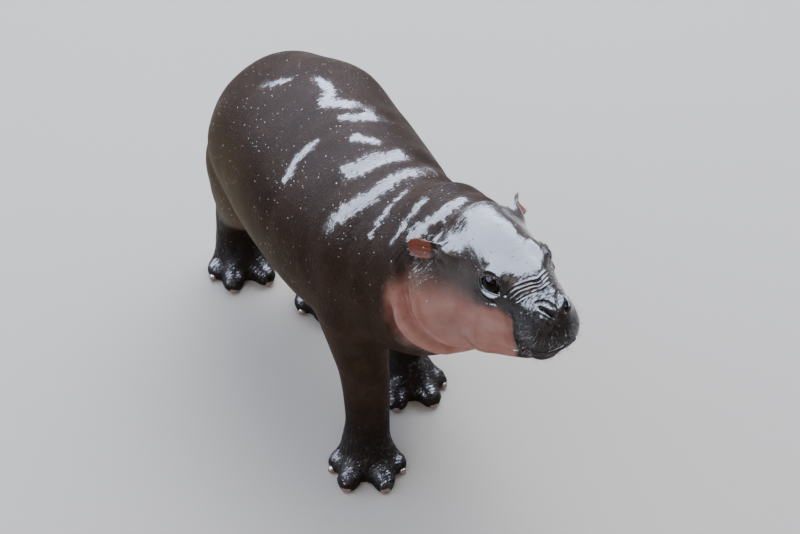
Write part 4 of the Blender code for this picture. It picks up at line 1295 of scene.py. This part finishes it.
keratin, tree = new_material("bristle_keratin")
surface = add_node(tree, "ShaderNodeBsdfPrincipled", None, Base_Color=linear("#4a4038"), Roughness=0.4,
                   IOR=1.55)
add_node(tree, "ShaderNodeOutputMaterial", None, Surface=surface)
bristle_piece.data.materials.append(keratin)
print("materials:", [material.name for material in (hide, wet_eye, horn, keratin)])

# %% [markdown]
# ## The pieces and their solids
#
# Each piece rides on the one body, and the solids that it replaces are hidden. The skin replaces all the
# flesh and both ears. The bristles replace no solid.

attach(skin, "root")
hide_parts(*FLESH, "ear_left", "ear_right")
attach(bristle_piece, "root")
for side, eye in eyes.items():
    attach(eye, "root")
    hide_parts(f"eye_{side}")
for name, nail in nails.items():
    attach(nail, "root")
    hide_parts(name)
print("pieces:", 2 + len(eyes) + len(nails))

# %% [markdown]
# ## Floor, light and camera
#
# The floor is matt and pale, so that it throws soft light up under the belly. A soft key light and a weak
# fill shape the body. Wet skin shows what it mirrors, so one large sheet stands in for the open sky. It is
# seen only in reflections: as a lamp it would wash out the shading. The camera looks down on the calf from
# its front right.

# %% Stage
FLOOR_HALF = 6.0
corners = [[i * FLOOR_HALF, j * FLOOR_HALF, 0] for i, j in ((-1, -1), (1, -1), (1, 1), (-1, 1))]
floor = add_piece("floor", corners, [[0, 1, 2, 3]])
# Matt paint: it has no shine of its own, so only light and shadow show on it
pale_floor, tree = new_material("pale_floor")
surface = add_node(tree, "ShaderNodeBsdfPrincipled", None, Base_Color=linear("#c9c6c0"), Roughness=0.9)
add_node(tree, "ShaderNodeOutputMaterial", None, Surface=surface)
floor.data.materials.append(pale_floor)
floor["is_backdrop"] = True

world = bpy.data.worlds.new("studio")
world.use_nodes = True
world.node_tree.nodes["Background"].inputs["Color"].default_value = linear("#ebe5db")
world.node_tree.nodes["Background"].inputs["Strength"].default_value = 0.41
bpy.context.scene.world = world


def look(thing, target):
    """Turns a light or camera so that its -Z axis points at the target."""
    away = (np.array(thing.location) - target)
    away /= np.linalg.norm(away)
    right = np.cross([0, 0, 1], away)
    right /= np.linalg.norm(right)
    up = np.cross(away, right)
    matrix = np.eye(4)
    matrix[:3, 0], matrix[:3, 1], matrix[:3, 2], matrix[:3, 3] = right, up, away, thing.location
    thing.matrix_world = Matrix(matrix)


def soft_light(name, place, size, watts, colour, target=(0.0, 0.0, 0.2)):
    """A rectangular area light that faces the calf."""
    light = bpy.data.lights.new(name, "AREA")
    light.shape = "RECTANGLE"
    light.size, light.size_y = size
    light.energy = watts
    light.color = linear(colour)[:3]
    thing = bpy.data.objects.new(name, light)
    thing.location = place
    bpy.context.scene.collection.objects.link(thing)
    look(thing, np.array(target))
    return thing


key = soft_light("key", (0.9, 1.1, 2.4), (2.2, 1.6), 62, "#fbfaf6")
key.visible_glossy = False
sky = soft_light("sky_sheet", (-1.1, 2.3, 3.0), (12.4, 7.6), 9600, "#d8e4ff", (-1.1, 2.2999, 0.0))
sky.visible_diffuse = False
sky.visible_camera = False
soft_light("front_fill", (-1.8, -2.4, 1.7), (2.0, 1.6), 26, "#fff4e6")

AZIMUTH, ELEVATION, DISTANCE = math.radians(-28), math.radians(41), 3.6
TARGET = np.array([0.0381, 0.0001, 0.2])
camera = bpy.data.objects.new("camera", bpy.data.cameras.new("camera"))
bpy.context.scene.collection.objects.link(camera)
camera.location = TARGET + DISTANCE * np.array([
    math.sin(AZIMUTH) * math.cos(ELEVATION), -math.cos(AZIMUTH) * math.cos(ELEVATION), math.sin(ELEVATION)])
camera.data.lens = 131.7
camera.data.sensor_width = 36.0
look(camera, TARGET)
bpy.context.scene.camera = camera
print("camera at", [round(v, 3) for v in camera.location])

# %% [markdown]
# Last the two boxes are printed, of the solids and of the finished calf. The skin may not outgrow the
# solids.

# %% Finish
bpy.context.view_layer.update()
boxes = {"cad": cad_box, "visual": [list(corner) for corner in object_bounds()]}
for key, box in boxes.items():
    print(key, "box in mm:", [[round(1000 * v, 1) for v in corner] for corner in box])
